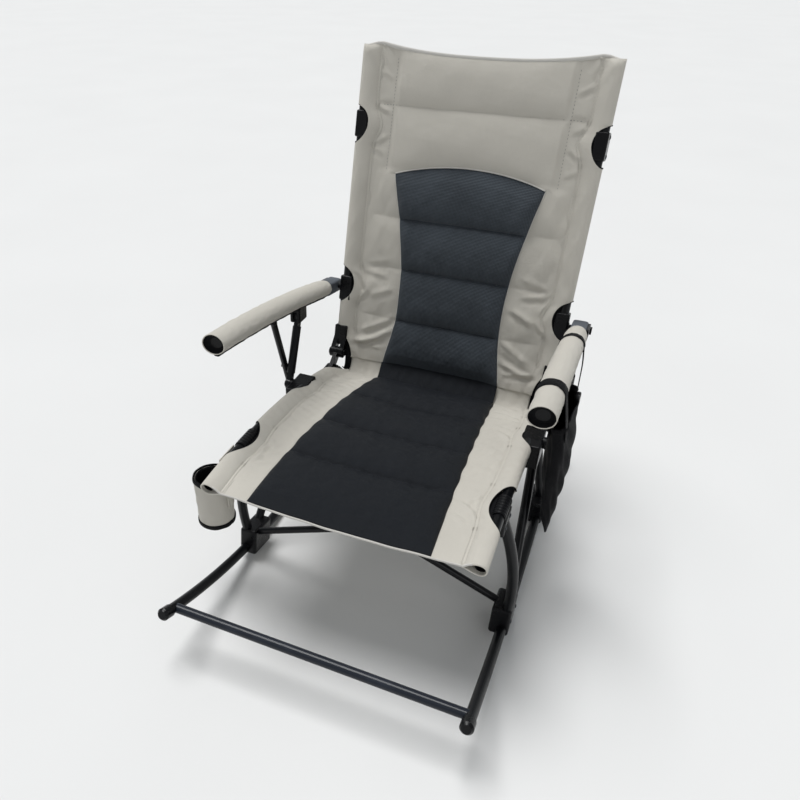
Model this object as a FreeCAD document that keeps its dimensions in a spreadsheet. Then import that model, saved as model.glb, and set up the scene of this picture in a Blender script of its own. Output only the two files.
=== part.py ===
"""Folding rocking chair with a padded sling, as a parametric FreeCAD document.

The chair faces -Y and stands on two curved rails; +X is its left hand side seen
from the sitter, the viewer's right. The origin is on the floor under the rails'
lowest point. Lengths are millimetres and angles degrees.
"""
import FreeCAD
import Part
import Sketcher

import os
import re

doc = FreeCAD.newDocument("folding_rocking_chair")

# Driving dimensions: alias, value, meaning.
DIMENSIONS = (
    ("tube_radius", 11.0, "outer radius of rails, legs, seat, back and arm tubes"),
    ("tube_wall", 1.5, "wall of every tube"),
    ("strut_radius", 10.0, "outer radius of seat struts and arm supports"),
    ("brace_radius", 8.0, "outer radius of the crossed front braces"),
    ("tie_radius", 10.0, "outer radius of the tie bars between the rails"),
    ("stop_radius", 7.5, "outer radius of the recline stop struts"),
    ("fit_gap", 0.05, "clearance of a tube in its socket and a pin in its hole"),
    ("side_gap", 0.5, "sideways clearance between pieces that turn on each other"),
    ("soft_gap", 0.3, "clearance between fabric and the hard pieces beside it"),
    ("clamp_wall", 2.2, "moulded clamp over a tube, towards the cloth"),
    ("hub_corner", 6.5, "rounding of the rail hubs"),
    ("front_block_inset", 23.0, "front bracket, seat tube axis to its inner face"),
    ("front_block_outset", 15.0, "front bracket, seat tube axis to its outer face"),
    ("front_block_length", 56.0, "front bracket along the seat"),
    ("front_block_height", 38.0, "front bracket, height of its block"),
    ("front_block_drop", 8.0, "front bracket, seat tube axis to the top of its block"),
    ("mid_block_width", 44.0, "middle bracket, sideways"),
    ("mid_block_length", 80.0, "middle bracket along the seat"),
    ("mid_block_drop", 46.0, "middle bracket, seat tube axis to its lower face"),
    ("hinge_block_width", 32.0, "hinge bracket, sideways"),
    ("hinge_block_length", 46.0, "hinge bracket along the seat"),
    ("hinge_block_height", 52.0, "hinge bracket, upright"),
    ("knuckle_depth", 32.0, "back knuckle, front to rear"),
    ("knuckle_height", 52.0, "back knuckle along the back tube"),
    ("upper_block_width", 28.0, "upper back bracket, sideways"),
    ("upper_block_reach", 50.0, "upper back bracket, back tube axis to its rear face"),
    ("upper_block_height", 58.0, "upper back bracket along the back tube"),
    ("pivot_block_width", 31.0, "arm pivot bracket, sideways"),
    ("pivot_block_height", 62.0, "arm pivot bracket along the back tube"),
    ("corner_radius", 4.0, "rounding of the moulded brackets"),
    ("half_seat", 268.0, "centre plane to seat and back tube axis"),
    ("side_step", 40.0, "seat tube axis to rail and arm axis, sideways"),
    ("rail_bend", 1372.0, "radius of the rocker rail's axis"),
    ("rail_front", 572.0, "rail lowest point to its front end, level"),
    ("rail_rear", 430.0, "rail lowest point to its rear end, level"),
    ("cap_depth", 20.0, "rail end cap: how far it covers the tube"),
    ("cap_wall", 2.0, "rail end cap: wall"),
    ("cap_dome", 7.0, "rail end cap: length past the tube end"),
    ("tie_front_y", -537.5, "front tie bar"),
    ("tie_rear_y", 395.0, "rear tie bar"),
    ("hub_front_y", -220.0, "front hub on the rail"),
    ("hub_rear_y", 176.0, "rear hub on the rail"),
    ("hub_length", 78.0, "hub along the rail"),
    ("hub_outer", 15.0, "hub: rail axis to its outer face"),
    ("hub_inner", 27.0, "hub: rail axis to its inner face"),
    ("hub_floor", 3.5, "hub: wall under the rail"),
    ("hub_top", 52.0, "hub: rail axis to its top"),
    ("hub_socket", 28.0, "hub: rail axis to the floor of the tube sockets"),
    ("leg_shift", 14.0, "front leg ahead of the hub's middle"),
    ("leg_bow", 20.0, "outward bow of the front leg"),
    ("strut_shift", 20.0, "seat strut behind the hub's middle"),
    ("brace_rise", 40.0, "front brace above the rail axis at the hub"),
    ("brace_bite", 12.0, "depth of a brace end in its socket"),
    ("brace_step", 8.5, "front brace off the plane of the crossing"),
    ("rivet_radius", 4.0, "rivets of the braces and stop struts"),
    ("seat_front_y", -425.0, "front end of the seat tube"),
    ("seat_front_z", 366.0, "front end of the seat tube"),
    ("seat_rear_y", 172.0, "rear end of the seat tube"),
    ("seat_rear_z", 306.0, "rear end of the seat tube"),
    ("seat_rise", 30.0, "upward bow of the seat tube"),
    ("front_bracket_y", -272.0, "seat front bracket"),
    ("mid_y", 4.0, "arm support pivot on the seat"),
    ("hinge_y", 203.0, "back hinge"),
    ("hinge_z", 343.0, "back hinge"),
    ("pin_radius", 6.0, "hinge and pivot pins"),
    ("eye_radius", 14.0, "round ends of hinged plates"),
    ("tongue_width", 10.0, "thickness of a hinge tongue or strut eye"),
    ("cheek_width", 11.5, "thickness of one cheek of a hinge fork"),
    ("back_low_y", 230.0, "lower end of the back line"),
    ("back_low_z", 352.0, "lower end of the back line"),
    ("back_lean", 12.9, "lean of the back from upright"),
    ("back_tube_low", 8.0, "back line start to the tube's lower end"),
    ("back_tube_top", 688.0, "back line start to the tube's upper end"),
    ("arm_pivot_up", 150.0, "arm pivot along the back line"),
    ("upper_bracket_up", 535.0, "upper back bracket along the back line"),
    ("stretcher_back", 36.0, "back stretcher behind the back tubes"),
    ("arm_front_y", -282.0, "front end of the arm tube"),
    ("arm_front_z", 601.0, "front end of the arm tube"),
    ("arm_setback", 26.0, "arm pivot to the rear end of the arm tube"),
    ("arm_rise", 9.0, "upward bow of the arm"),
    ("arm_cap_length", 74.0, "arm pivot to the front face of the arm's rear cap"),
    ("arm_cap_tail", 20.0, "arm pivot to the rear face of the arm's rear cap"),
    ("clevis_length", 40.0, "clamp under the arm, along the arm"),
    ("support_clear", 27.0, "arm support pivot to the start of its tube"),
    ("sleeve_radius", 23.0, "padded arm sleeve"),
    ("sleeve_front", 14.0, "arm sleeve past the tube's front end"),
    ("plug_radius", 18.0, "arm front plug"),
    ("plug_depth", 9.0, "arm sleeve's front edge to the plug"),
    ("cloth", 2.0, "fabric sleeve over a frame tube"),
    ("sling_half", 5.0, "half the thickness of the sling"),
    ("channel_crown", 9.0, "swell of a padded channel"),
    ("seat_over", 8.0, "seat sling past the tube's front end"),
    ("seat_tail", 26.0, "seat sling past the tube's rear end"),
    ("seat_panel_front", 182.0, "half width of the seat panel at its front"),
    ("seat_panel_rear", 155.0, "half width of the seat panel at its rear"),
    ("back_sling_low", -28.0, "lower edge of the back sling along the back line"),
    ("back_sling_top", 700.0, "upper edge of the back sling along the back line"),
    ("back_panel_foot", 150.0, "half width of the back panel at its foot"),
    ("back_panel_waist", 130.0, "half width of the back panel at its waist"),
    ("back_panel_head", 174.0, "half width of the back panel at its head"),
    ("back_waist_low", 89.0, "lower end of the waist along the back line"),
    ("back_waist_top", 215.0, "upper end of the waist along the back line"),
    ("back_panel_top", 434.0, "corners of the back panel along the back line"),
    ("back_panel_arch", 27.0, "rise of the back panel's arched head"),
    ("moon_radius", 58.0, "half-moon openings in the sling's edges"),
    ("moon_depth", 30.0, "depth of the half-moon openings"),
    ("cup_radius", 40.0, "cup holder, outside"),
    ("cup_wall", 2.0, "cup holder, wall"),
    ("cup_height", 120.0, "cup holder, height"),
    ("cup_top_z", 304.0, "cup holder, rim"),
    ("cup_y", -330.0, "cup holder, middle"),
    ("cup_tab_width", 56.0, "cup holder's hanging tab"),
    ("cup_tab_thick", 4.2, "cup holder's hanging tab"),
    ("pocket_wall", 2.0, "pocket, wall"),
    ("pocket_inset", 8.0, "arm axis to the pocket's inner face at its mouth"),
    ("pocket_mouth", 34.0, "pocket, width at its mouth"),
    ("pocket_belly", 46.0, "pocket, width at its fullest"),
    ("pocket_foot_inset", 28.0, "arm axis to the pocket's inner face at its foot"),
    ("pocket_foot", 14.0, "pocket, width at its foot"),
    ("pocket_front_y", -215.0, "pocket, front edge at the mouth"),
    ("pocket_rear_y", -46.0, "pocket, rear edge at the mouth"),
    ("pocket_foot_front_y", -100.0, "pocket, front edge at its foot"),
    ("pocket_foot_rear_y", -46.0, "pocket, rear edge at its foot"),
    ("pocket_top_z", 528.0, "pocket, mouth"),
    ("pocket_belly_z", 405.0, "pocket, fullest level"),
    ("pocket_low_z", 190.0, "pocket, foot"),
    ("strap_width", 22.0, "pocket strap along the arm"),
    ("strap_thick", 2.6, "pocket strap"),
    ("strap_front_y", -198.0, "front pocket strap"),
    ("strap_rear_y", 105.0, "rear pocket strap"),
    ("strap_low_z", 430.0, "lowest level of the rear pocket strap"),
    ("buckle_width", 12.0, "strap buckle, sideways"),
    ("buckle_length", 30.0, "strap buckle, along the arm"),
    ("buckle_height", 34.0, "strap buckle, upright"),
)

# Channels sewn across the slings, front to back and bottom to top.
SEAT_CHANNELS = 4
BACK_CHANNELS = 4
HEAD_CHANNELS = 2


def arc_cells(name, front_y, front_z, rear_y, rear_z, rise):
    """Formulas of an upward arc in a side plane, from its two ends and its rise."""
    return (
        (name + "_chord", f"sqrt(({rear_y} - {front_y})^2 + ({rear_z} - {front_z})^2)"),
        (name + "_tilt", f"atan2({rear_z} - {front_z}; {rear_y} - {front_y}) / 1deg"),
        (name + "_bend", f"({name}_chord^2 / 4 + {rise}^2) / (2 * {rise})"),
        (name + "_half", f"asin({name}_chord / (2 * {name}_bend)) / 1deg"),
        (name + "_mid_y", f"({front_y} + {rear_y}) / 2 + ({name}_bend - {rise}) * sin({name}_tilt)"),
        (name + "_mid_z", f"({front_z} + {rear_z}) / 2 - ({name}_bend - {rise}) * cos({name}_tilt)"),
        (name + "_start", f"90 + {name}_tilt - {name}_half"),
        (name + "_degree", f"180 / (pi * {name}_bend)"),
    )


def rail_height(y):
    """Formula of the rail axis's height at a level place y."""
    return f"tube_radius + rail_bend - sqrt(rail_bend^2 - ({y})^2)"


def arc_height(name, y):
    """Formula of an upward arc's height at a level place y."""
    return f"{name}_mid_z + sqrt({name}_bend^2 - ({y} - {name}_mid_y)^2)"


# Worked-out places: alias and formula.
LAYOUT = (
    ("rail_front_angle", "asin(rail_front / rail_bend) / 1deg"),
    ("rail_rear_angle", "asin(rail_rear / rail_bend) / 1deg"),
    ("hub_front_z", rail_height("hub_front_y")),
    ("hub_rear_z", rail_height("hub_rear_y")),
    ("tie_front_z", rail_height("tie_front_y")),
    ("tie_rear_z", rail_height("tie_rear_y")),
    *arc_cells("seat", "seat_front_y", "seat_front_z", "seat_rear_y", "seat_rear_z", "seat_rise"),
    ("front_bracket_z", arc_height("seat", "front_bracket_y")),
    ("mid_z", arc_height("seat", "mid_y")),
    ("arm_pivot_y", "back_low_y + arm_pivot_up * sin(back_lean)"),
    ("arm_pivot_z", "back_low_z + arm_pivot_up * cos(back_lean)"),
    ("support_y", "mid_y + arm_pivot_y - hinge_y"),
    ("support_z", "mid_z + arm_pivot_z - hinge_z"),
    ("arm_span", "sqrt((arm_pivot_y - arm_front_y)^2 + (arm_pivot_z - arm_front_z)^2)"),
    ("arm_rear_y", "arm_pivot_y + (arm_front_y - arm_pivot_y) * arm_setback / arm_span"),
    ("arm_rear_z", "arm_pivot_z + (arm_front_z - arm_pivot_z) * arm_setback / arm_span"),
    *arc_cells("arm", "arm_front_y", "arm_front_z", "arm_rear_y", "arm_rear_z", "arm_rise"),
    ("leg_low_y", "hub_front_y - leg_shift"),
    ("leg_low_z", "hub_front_z + hub_socket"),
    ("leg_top_z", "front_bracket_z - tube_radius - corner_radius"),
    ("leg_chord", "sqrt((half_rail - half_seat)^2 + (front_bracket_y - leg_low_y)^2 + (leg_top_z - leg_low_z)^2)"),
    ("leg_bend", "(leg_chord^2 / 4 + leg_bow^2) / (2 * leg_bow)"),
    ("leg_half", "asin(leg_chord / (2 * leg_bend)) / 1deg"),
    ("sleeve_out", "tube_radius + cloth"),
    ("cup_x", "half_seat + sleeve_out + cup_tab_thick + cup_radius + 2 * soft_gap"),
    ("half_rail", "half_seat + side_step"),
    ("pocket_inner", "half_rail + pocket_inset"),
    ("pocket_foot_inner", "half_rail + pocket_foot_inset"),
    ("clamp_top", "tube_radius + clamp_wall"),
    ("seat_pitch", f"(2 * seat_half + (seat_over + seat_tail) * seat_degree) / {SEAT_CHANNELS}"),
    ("seat_channel_bend", "((seat_bend * seat_pitch * pi / 360)^2 + channel_crown^2) / (2 * channel_crown)"),
    ("back_pitch", f"(back_panel_top - back_sling_low) / {BACK_CHANNELS}"),
    ("back_channel_bend", "(back_pitch^2 / 4 + channel_crown^2) / (2 * channel_crown)"),
    ("head_pitch", f"(back_sling_top - back_panel_top) / {HEAD_CHANNELS}"),
    ("head_channel_bend", "(head_pitch^2 / 4 + channel_crown^2) / (2 * channel_crown)"),
    ("arch_bend", "(back_panel_head^2 + back_panel_arch^2) / (2 * back_panel_arch)"),
)

DIMENSION_NAMES = {row[0] for row in DIMENSIONS}
LAYOUT_NAMES = {row[0] for row in LAYOUT}
SIDES = (("left", -1), ("right", 1))
FLAT = "rotation(vector(0; 0; 1); 0)"
ALONG_X = "rotation(vector(0; 1; 0); 90)"
SIDE_PLANE = "rotation(vector(1; 1; 1); 120)"
BACK = "placement(vector(0; back_low_y; back_low_z); rotation(vector(1; 0; 0); 0 - back_lean))"

sub_parts = []


def formula(text, local=False):
    """The text with each alias named on its sheet."""

    def on_sheet(match):
        word = match.group(0)
        if word in DIMENSION_NAMES:
            return "Dims." + word
        if word in LAYOUT_NAMES and not local:
            return "Layout." + word
        return word

    return re.sub(r"[a-z]\w*", on_sheet, text)


def make_sheets():
    """The sheet of driving dimensions and the sheet of worked-out places."""
    sheet = doc.addObject("Spreadsheet::Sheet", "Dims")
    for row, (alias, value, meaning) in enumerate(DIMENSIONS, start=1):
        sheet.set(f"A{row}", meaning)
        sheet.set(f"B{row}", str(value))
        sheet.setAlias(f"B{row}", alias)
    layout = doc.addObject("Spreadsheet::Sheet", "Layout")
    doc.recompute()
    for row, (alias, text) in enumerate(LAYOUT, start=1):
        layout.setAlias(f"B{row}", alias)
    for row, (alias, text) in enumerate(LAYOUT, start=1):
        layout.set(f"B{row}", "=" + formula(text, local=True))
    doc.recompute()


def bind(thing, **sizes):
    """Tie properties of an object to formulas."""
    for name, text in sizes.items():
        thing.setExpression(name, formula(str(text)))
    return thing


def at(x, y, z, turn=FLAT):
    """A placement formula."""
    return f"placement(vector({x}; {y}; {z}); {turn})"


def turned(axis, angle):
    """A rotation formula about one of the axes."""
    vectors = {"x": "1; 0; 0", "y": "0; 1; 0", "z": "0; 0; 1"}
    return f"rotation(vector({vectors[axis]}); {angle})"


def towards(start, end):
    """Length and rotation formulas that lay +Z along the line from start to end."""
    dx, dy, dz = (f"({b} - ({a}))" for a, b in zip(start, end))
    length = f"sqrt({dx}^2 + {dy}^2 + {dz}^2)"
    return length, f"rotation(vector(0 - {dy}; {dx}; 0); acos({dz} / {length}))"


def cylinder(name, radius, height, placement, angle="360"):
    thing = doc.addObject("Part::Cylinder", name)
    return bind(thing, Radius=radius, Height=height, Angle=angle, Placement=placement)


def box(name, length, width, height, placement):
    thing = doc.addObject("Part::Box", name)
    return bind(thing, Length=length, Width=width, Height=height, Placement=placement)


def rod(name, start, end, radius):
    """A solid round bar from one point to another."""
    length, turn = towards(start, end)
    return cylinder(name, radius, length, at(*start, turn))


def side_arc(name, x, arc, radius, start, sweep):
    """A solid round bar on an arc in a side plane, from a start angle over a sweep."""
    thing = doc.addObject("Part::Torus", name)
    turn = f"{SIDE_PLANE} * {turned('z', start)}"
    bind(thing, Radius1=arc + "_bend", Radius2=radius, Angle3=sweep)
    return bind(thing, Placement=at(x, arc + "_mid_y", arc + "_mid_z", turn))


def cut(name, base, *tools):
    for number, tool in enumerate(tools):
        thing = doc.addObject("Part::Cut", f"{name}_cut{number}")
        thing.Base = base
        thing.Tool = tool
        base = thing
    return base


def fuse(name, *shapes):
    thing = doc.addObject("Part::MultiFuse", name + "_fuse")
    thing.Shapes = list(shapes)
    return thing


def common(name, base, tool):
    thing = doc.addObject("Part::Common", name + "_common")
    thing.Base = base
    thing.Tool = tool
    return thing


def keep(label, thing):
    """Name an object as a sub-part."""
    thing.Label = label
    sub_parts.append(thing)
    return thing


def moulded_block(name, size_x, size_y, size_z, placement, radius="corner_radius"):
    """A rounded block around its own origin: a padded rectangle with filleted edges."""
    body = doc.addObject("PartDesign::Body", name + "_block")
    sketch = body.newObject("Sketcher::SketchObject", name + "_outline")
    plane = next(item for item in body.Origin.OriginFeatures if item.Role == "XY_Plane")
    sketch.AttachmentSupport = [(plane, "")]
    sketch.MapMode = "FlatFace"
    corners = [FreeCAD.Vector(u, v, 0) for u, v in ((-9, -9), (9, -9), (9, 9), (-9, 9))]
    for number, corner in enumerate(corners):
        sketch.addGeometry(Part.LineSegment(corner, corners[(number + 1) % 4]))
        sketch.addConstraint(Sketcher.Constraint("Vertical" if number % 2 else "Horizontal", number))
    for number in range(4):
        sketch.addConstraint(Sketcher.Constraint("Coincident", number, 2, (number + 1) % 4, 1))
    sketch.addConstraint(Sketcher.Constraint("Symmetric", 0, 1, 1, 2, -1, 1))
    across = sketch.addConstraint(Sketcher.Constraint("DistanceX", 0, 1, 0, 2, 18.0))
    along = sketch.addConstraint(Sketcher.Constraint("DistanceY", 1, 1, 1, 2, 18.0))
    sketch.setExpression(f"Constraints[{across}]", formula(size_x))
    sketch.setExpression(f"Constraints[{along}]", formula(size_y))
    pad = body.newObject("PartDesign::Pad", name + "_pad")
    pad.Profile = sketch
    pad.Midplane = True
    bind(pad, Length=size_z)
    doc.recompute()
    rounding = body.newObject("PartDesign::Fillet", name + "_rounding")
    rounding.Base = (pad, [f"Edge{number}" for number in range(1, 13)])
    bind(rounding, Radius=radius)
    return bind(body, Placement=placement)


def rail_solid(name, x, radius):
    """The rail's arc as a solid bar of a given radius."""
    thing = doc.addObject("Part::Torus", name)
    turn = f"{SIDE_PLANE} * {turned('z', '270 - rail_front_angle')}"
    bind(thing, Radius1="rail_bend", Radius2=radius, Angle3="rail_front_angle + rail_rear_angle")
    return bind(thing, Placement=at(x, "0", "tube_radius + rail_bend", turn))


def rocker_rails():
    for side, sign in SIDES:
        x = f"{sign} * half_rail"
        outer = rail_solid(f"rail_{side}_outer", x, "tube_radius")
        bore = rail_solid(f"rail_{side}_bore", x, "tube_radius - tube_wall")
        keep(f"rocker_rail_{side}", cut(f"rail_{side}", outer, bore))


def rail_caps():
    """Rounded plastic caps over the four rail ends."""
    ends = (("front", -1, "rail_front", "rail_front_angle"), ("rear", 1, "rail_rear", "rail_rear_angle"))
    for end, way, level, angle in ends:
        tip = rail_height(level)
        turn = turned("x", f"{-way} * (90 - {angle})")
        for side, sign in SIDES:
            name = f"rail_cap_{end}_{side}"
            frame = at(f"{sign} * half_rail", f"{way} * {level}", tip, turn)
            shell = cylinder(name + "_shell", "tube_radius + cap_wall", "cap_depth + cap_wall",
                             frame + " * " + at("0", "0", "0 - cap_depth"))
            dome = doc.addObject("Part::Cone", name + "_dome")
            bind(dome, Radius1="tube_radius + cap_wall", Radius2="tube_radius - cap_wall")
            bind(dome, Height="cap_dome - cap_wall", Placement=frame + " * " + at("0", "0", "cap_wall"))
            socket = rail_solid(name + "_socket", f"{sign} * half_rail", "tube_radius + fit_gap")
            keep(name, cut(name, fuse(name, shell, dome), socket))


def tie_bars():
    """Bars between the rails, coped to the rails' sides."""
    for end in ("front", "rear"):
        name = f"tie_bar_{end}"
        place = at("0 - half_rail", f"tie_{end}_y", f"tie_{end}_z", ALONG_X)
        bar = cylinder(name + "_outer", "tie_radius", "2 * half_rail", place)
        bore = cylinder(name + "_bore", "tie_radius - tube_wall", "2 * half_rail", place)
        rails = [rail_solid(f"{name}_{side}", f"{sign} * half_rail", "tube_radius") for side, sign in SIDES]
        keep(name, cut(name, bar, bore, *rails))


def leg_ends(sign):
    low = (f"{sign} * half_rail", "leg_low_y", "leg_low_z")
    top = (f"{sign} * half_seat", "front_bracket_y", "leg_top_z")
    return low, top


def leg_solid(name, sign, radius):
    """The front leg's outward arc as a solid bar of a given radius."""
    low, top = leg_ends(sign)
    length, turn = towards(low, top)
    start = "0 - leg_half" if sign > 0 else "180 - leg_half"
    centre = at(f"{-sign} * (leg_bend - leg_bow)", "0", "leg_chord / 2",
                f"{turned('x', '90')} * {turned('z', start)}")
    thing = doc.addObject("Part::Torus", name)
    bind(thing, Radius1="leg_bend", Radius2=radius, Angle3="2 * leg_half")
    return bind(thing, Placement=at(*low, turn) + " * " + centre)


def strut_ends(sign):
    low = (f"{sign} * half_rail", "hub_front_y + strut_shift", "hub_front_z + hub_socket")
    top = (f"{sign} * (half_seat + tube_radius + 7)", "mid_y - 14", "mid_z - tube_radius - 17")
    return low, top


def rear_leg_ends(sign):
    low = (f"{sign} * half_rail", "hub_rear_y", "hub_rear_z + hub_socket")
    top = (f"{sign} * half_seat", "seat_rear_y - 22", "seat_rear_z - tube_radius - 5")
    return low, top


def brace_ends(sign):
    """A front brace from the hub on one side to the seat bracket on the other."""
    step = f"{sign} * brace_step"
    low = (f"{sign} * (half_rail - hub_inner + brace_bite)", f"hub_front_y + {step}", "hub_front_z + brace_rise")
    top = (f"{-sign} * (half_seat - front_block_inset + brace_bite)", f"front_bracket_y + {step}", "front_bracket_z - 33")
    return low, top


def hollow_rod(label, ends, radius):
    outer = rod(label + "_outer", *ends, radius)
    bore = rod(label + "_bore", *ends, f"{radius} - tube_wall")
    return cut(label, outer, bore)


def hubs():
    """Moulded clamps on the rails that hold the legs, struts and braces."""
    for end in ("front", "rear"):
        lean = turned("x", f"asin(hub_{end}_y / rail_bend)")
        for side, sign in SIDES:
            name = f"hub_{end}_{side}"
            x = f"{sign} * half_rail"
            middle = at(f"{sign} * (hub_outer - hub_inner) / 2", "0", "(hub_top - tube_radius - hub_floor) / 2")
            frame = at(x, f"hub_{end}_y", f"hub_{end}_z", lean)
            block = moulded_block(name, "hub_outer + hub_inner", "hub_length",
                                  "hub_top + tube_radius + hub_floor", frame + " * " + middle, "hub_corner")
            tools = [rail_solid(name + "_rail", x, "tube_radius + fit_gap")]
            if end == "front":
                tools.append(leg_solid(name + "_leg", sign, "tube_radius + fit_gap"))
                tools.append(rod(name + "_strut", *strut_ends(sign), "strut_radius + fit_gap"))
                tools.append(rod(name + "_brace", *brace_ends(sign), "brace_radius + fit_gap"))
            else:
                tools.append(rod(name + "_leg", *rear_leg_ends(sign), "tube_radius + fit_gap"))
            keep(name, cut(name, block, *tools))


def legs_and_struts():
    for side, sign in SIDES:
        outer = leg_solid(f"leg_{side}_outer", sign, "tube_radius")
        bore = leg_solid(f"leg_{side}_bore", sign, "tube_radius - tube_wall")
        keep(f"front_leg_{side}", cut(f"leg_{side}", outer, bore))
        keep(f"seat_strut_{side}", hollow_rod(f"seat_strut_{side}", strut_ends(sign), "strut_radius"))
        keep(f"rear_leg_{side}", hollow_rod(f"rear_leg_{side}", rear_leg_ends(sign), "tube_radius"))


def crossing():
    """Where the two front braces pass each other, on the centre plane."""
    low, top = brace_ends(1)
    reach = "half_rail - hub_inner + brace_bite"
    share = f"({reach}) / ({reach} + half_seat - front_block_inset + brace_bite)"
    return tuple(f"({a} + ({b} - ({a})) * {share})" for a, b in zip(low[1:], top[1:]))


def front_braces():
    """Two crossed bars, riveted where they pass."""
    y, z = crossing()
    rivet_start = ("0", f"{y} - 2 * brace_step - brace_radius - 3", z)
    rivet_end = ("0", f"{y} + brace_radius + 3", z)
    rivet = rod("brace_rivet", rivet_start, rivet_end, "rivet_radius")
    for name, sign in (("front_brace_a", 1), ("front_brace_b", -1)):
        bar = hollow_rod(name, brace_ends(sign), "brace_radius")
        if sign > 0:
            keep(name, fuse(name, bar, rivet))
        else:
            hole = rod(name + "_hole", rivet_start, rivet_end, "rivet_radius + fit_gap")
            keep(name, cut(name + "_drilled", bar, hole))


def seat_solid(name, sign, radius):
    return side_arc(name, f"{sign} * half_seat", "seat", radius, "seat_start", "2 * seat_half")


def seat_tubes():
    for side, sign in SIDES:
        outer = seat_solid(f"seat_{side}_outer", sign, "tube_radius")
        bore = seat_solid(f"seat_{side}_bore", sign, "tube_radius - tube_wall")
        keep(f"seat_tube_{side}", cut(f"seat_tube_{side}", outer, bore))


def seat_collar(name, sign, y, length):
    """A round collar on a seat tube, around a level place."""
    start = f"acos(({y} - seat_mid_y) / seat_bend) / 1deg - {length} / 2 * seat_degree"
    return side_arc(name, f"{sign} * half_seat", "seat", "clamp_top", start, f"{length} * seat_degree")


def seat_front_brackets():
    """Blocks under the front of the seat tubes, with a collar round the tube in the cloth's opening."""
    for side, sign in SIDES:
        name = f"seat_front_bracket_{side}"
        x = f"{sign} * (half_seat + (front_block_outset - front_block_inset) / 2)"
        level = "front_bracket_z - front_block_drop - front_block_height / 2"
        block = moulded_block(name, "front_block_inset + front_block_outset", "front_block_length",
                              "front_block_height", at(x, "front_bracket_y", level))
        clamp = seat_collar(name + "_collar", sign, "front_bracket_y", "front_block_length")
        tools = (seat_solid(name + "_tube", sign, "tube_radius + fit_gap"),
                 leg_solid(name + "_leg", sign, "tube_radius + fit_gap"),
                 rod(name + "_brace", *brace_ends(-sign), "brace_radius + fit_gap"))
        keep(name, cut(name, fuse(name, block, clamp), *tools))


def across(name, sign, inner, outer, y, z, radius):
    """A round bar along X between two distances from the centre plane."""
    return rod(name, (f"{sign} * ({inner})", y, z), (f"{sign} * ({outer})", y, z), radius)


def seat_mid_brackets():
    """Clamps at the middle of the seat with the pins that the arm supports turn on."""
    eye = "half_rail - tongue_width / 2"
    for side, sign in SIDES:
        name = f"seat_mid_bracket_{side}"
        face = "half_seat + 30"
        x = f"{sign} * ({face} - mid_block_width / 2)"
        place = at(x, "mid_y - 3", "mid_z + (clamp_top - mid_block_drop) / 2")
        block = moulded_block(name, "mid_block_width", "mid_block_length", "clamp_top + mid_block_drop", place)
        tools = (seat_solid(name + "_tube", sign, "tube_radius + fit_gap"),
                 rod(name + "_strut", *strut_ends(sign), "strut_radius + fit_gap"))
        clamp = cut(name, block, *tools)
        boss = across(name + "_boss", sign, f"{face} - 4", f"{eye} - side_gap", "mid_y", "mid_z", "eye_radius - 1")
        pin = across(name + "_pin", sign, f"{face} - 4", f"{eye} + tongue_width + side_gap + 4",
                     "mid_y", "mid_z", "pin_radius")
        head = across(name + "_head", sign, f"{eye} + tongue_width + side_gap",
                      f"{eye} + tongue_width + side_gap + 4", "mid_y", "mid_z", "pin_radius + 3")
        keep(name, fuse(name, clamp, boss, pin, head))


def plate(name, x_middle, width, start, end, half_height):
    """A flat bar in a side plane from one point towards another."""
    y0, z0 = start
    y1, z1 = end
    turn = turned("x", f"atan2(0 - ({y1} - ({y0})); {z1} - ({z0}))")
    length = f"sqrt(({y1} - ({y0}))^2 + ({z1} - ({z0}))^2)"
    return box(name, width, f"2 * ({half_height})", length,
               at(x_middle, y0, z0, turn) + " * " + at(f"0 - ({width}) / 2", f"0 - ({half_height})", "0"))


def seat_hinge_brackets():
    """Clamps at the rear of the seat: a tongue with the pin that the back turns on."""
    for side, sign in SIDES:
        name = f"seat_hinge_bracket_{side}"
        x = f"{sign} * half_seat"
        place = at(x, "seat_rear_y - 18", "seat_rear_z - 11")
        block = moulded_block(name, "hinge_block_width", "hinge_block_length", "hinge_block_height", place)
        tongue = plate(name + "_tongue", x, "tongue_width", ("hinge_y", "hinge_z"),
                       ("seat_rear_y - 22", "seat_rear_z"), "eye_radius - 3")
        eye = across(name + "_eye", sign, "half_seat - tongue_width / 2", "half_seat + tongue_width / 2",
                     "hinge_y", "hinge_z", "eye_radius")
        tube = seat_solid(name + "_tube", sign, "tube_radius + fit_gap")
        leg = rod(name + "_leg", *rear_leg_ends(sign), "tube_radius + fit_gap")
        clamp = cut(name, fuse(name + "_solid", block, tongue, eye), tube, leg)
        reach = "tongue_width / 2 + side_gap + cheek_width + side_gap"
        pin = across(name + "_pin", sign, f"half_seat - ({reach}) - 3", f"half_seat + {reach} + 3",
                     "hinge_y", "hinge_z", "pin_radius")
        heads = [across(f"{name}_head{way}", sign, f"half_seat + {way} * ({reach})",
                        f"half_seat + {way} * ({reach} + 3)", "hinge_y", "hinge_z", "pin_radius + 3")
                 for way in (-1, 1)]
        keep(name, fuse(name, clamp, pin, *heads))


def back_solid(name, sign, radius):
    return cylinder(name, radius, "back_tube_top - back_tube_low",
                    BACK + " * " + at(f"{sign} * half_seat", "0", "back_tube_low"))


def back_tubes():
    for side, sign in SIDES:
        outer = back_solid(f"back_{side}_outer", sign, "tube_radius")
        bore = back_solid(f"back_{side}_bore", sign, "tube_radius - tube_wall")
        keep(f"back_tube_{side}", cut(f"back_tube_{side}", outer, bore))


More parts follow.
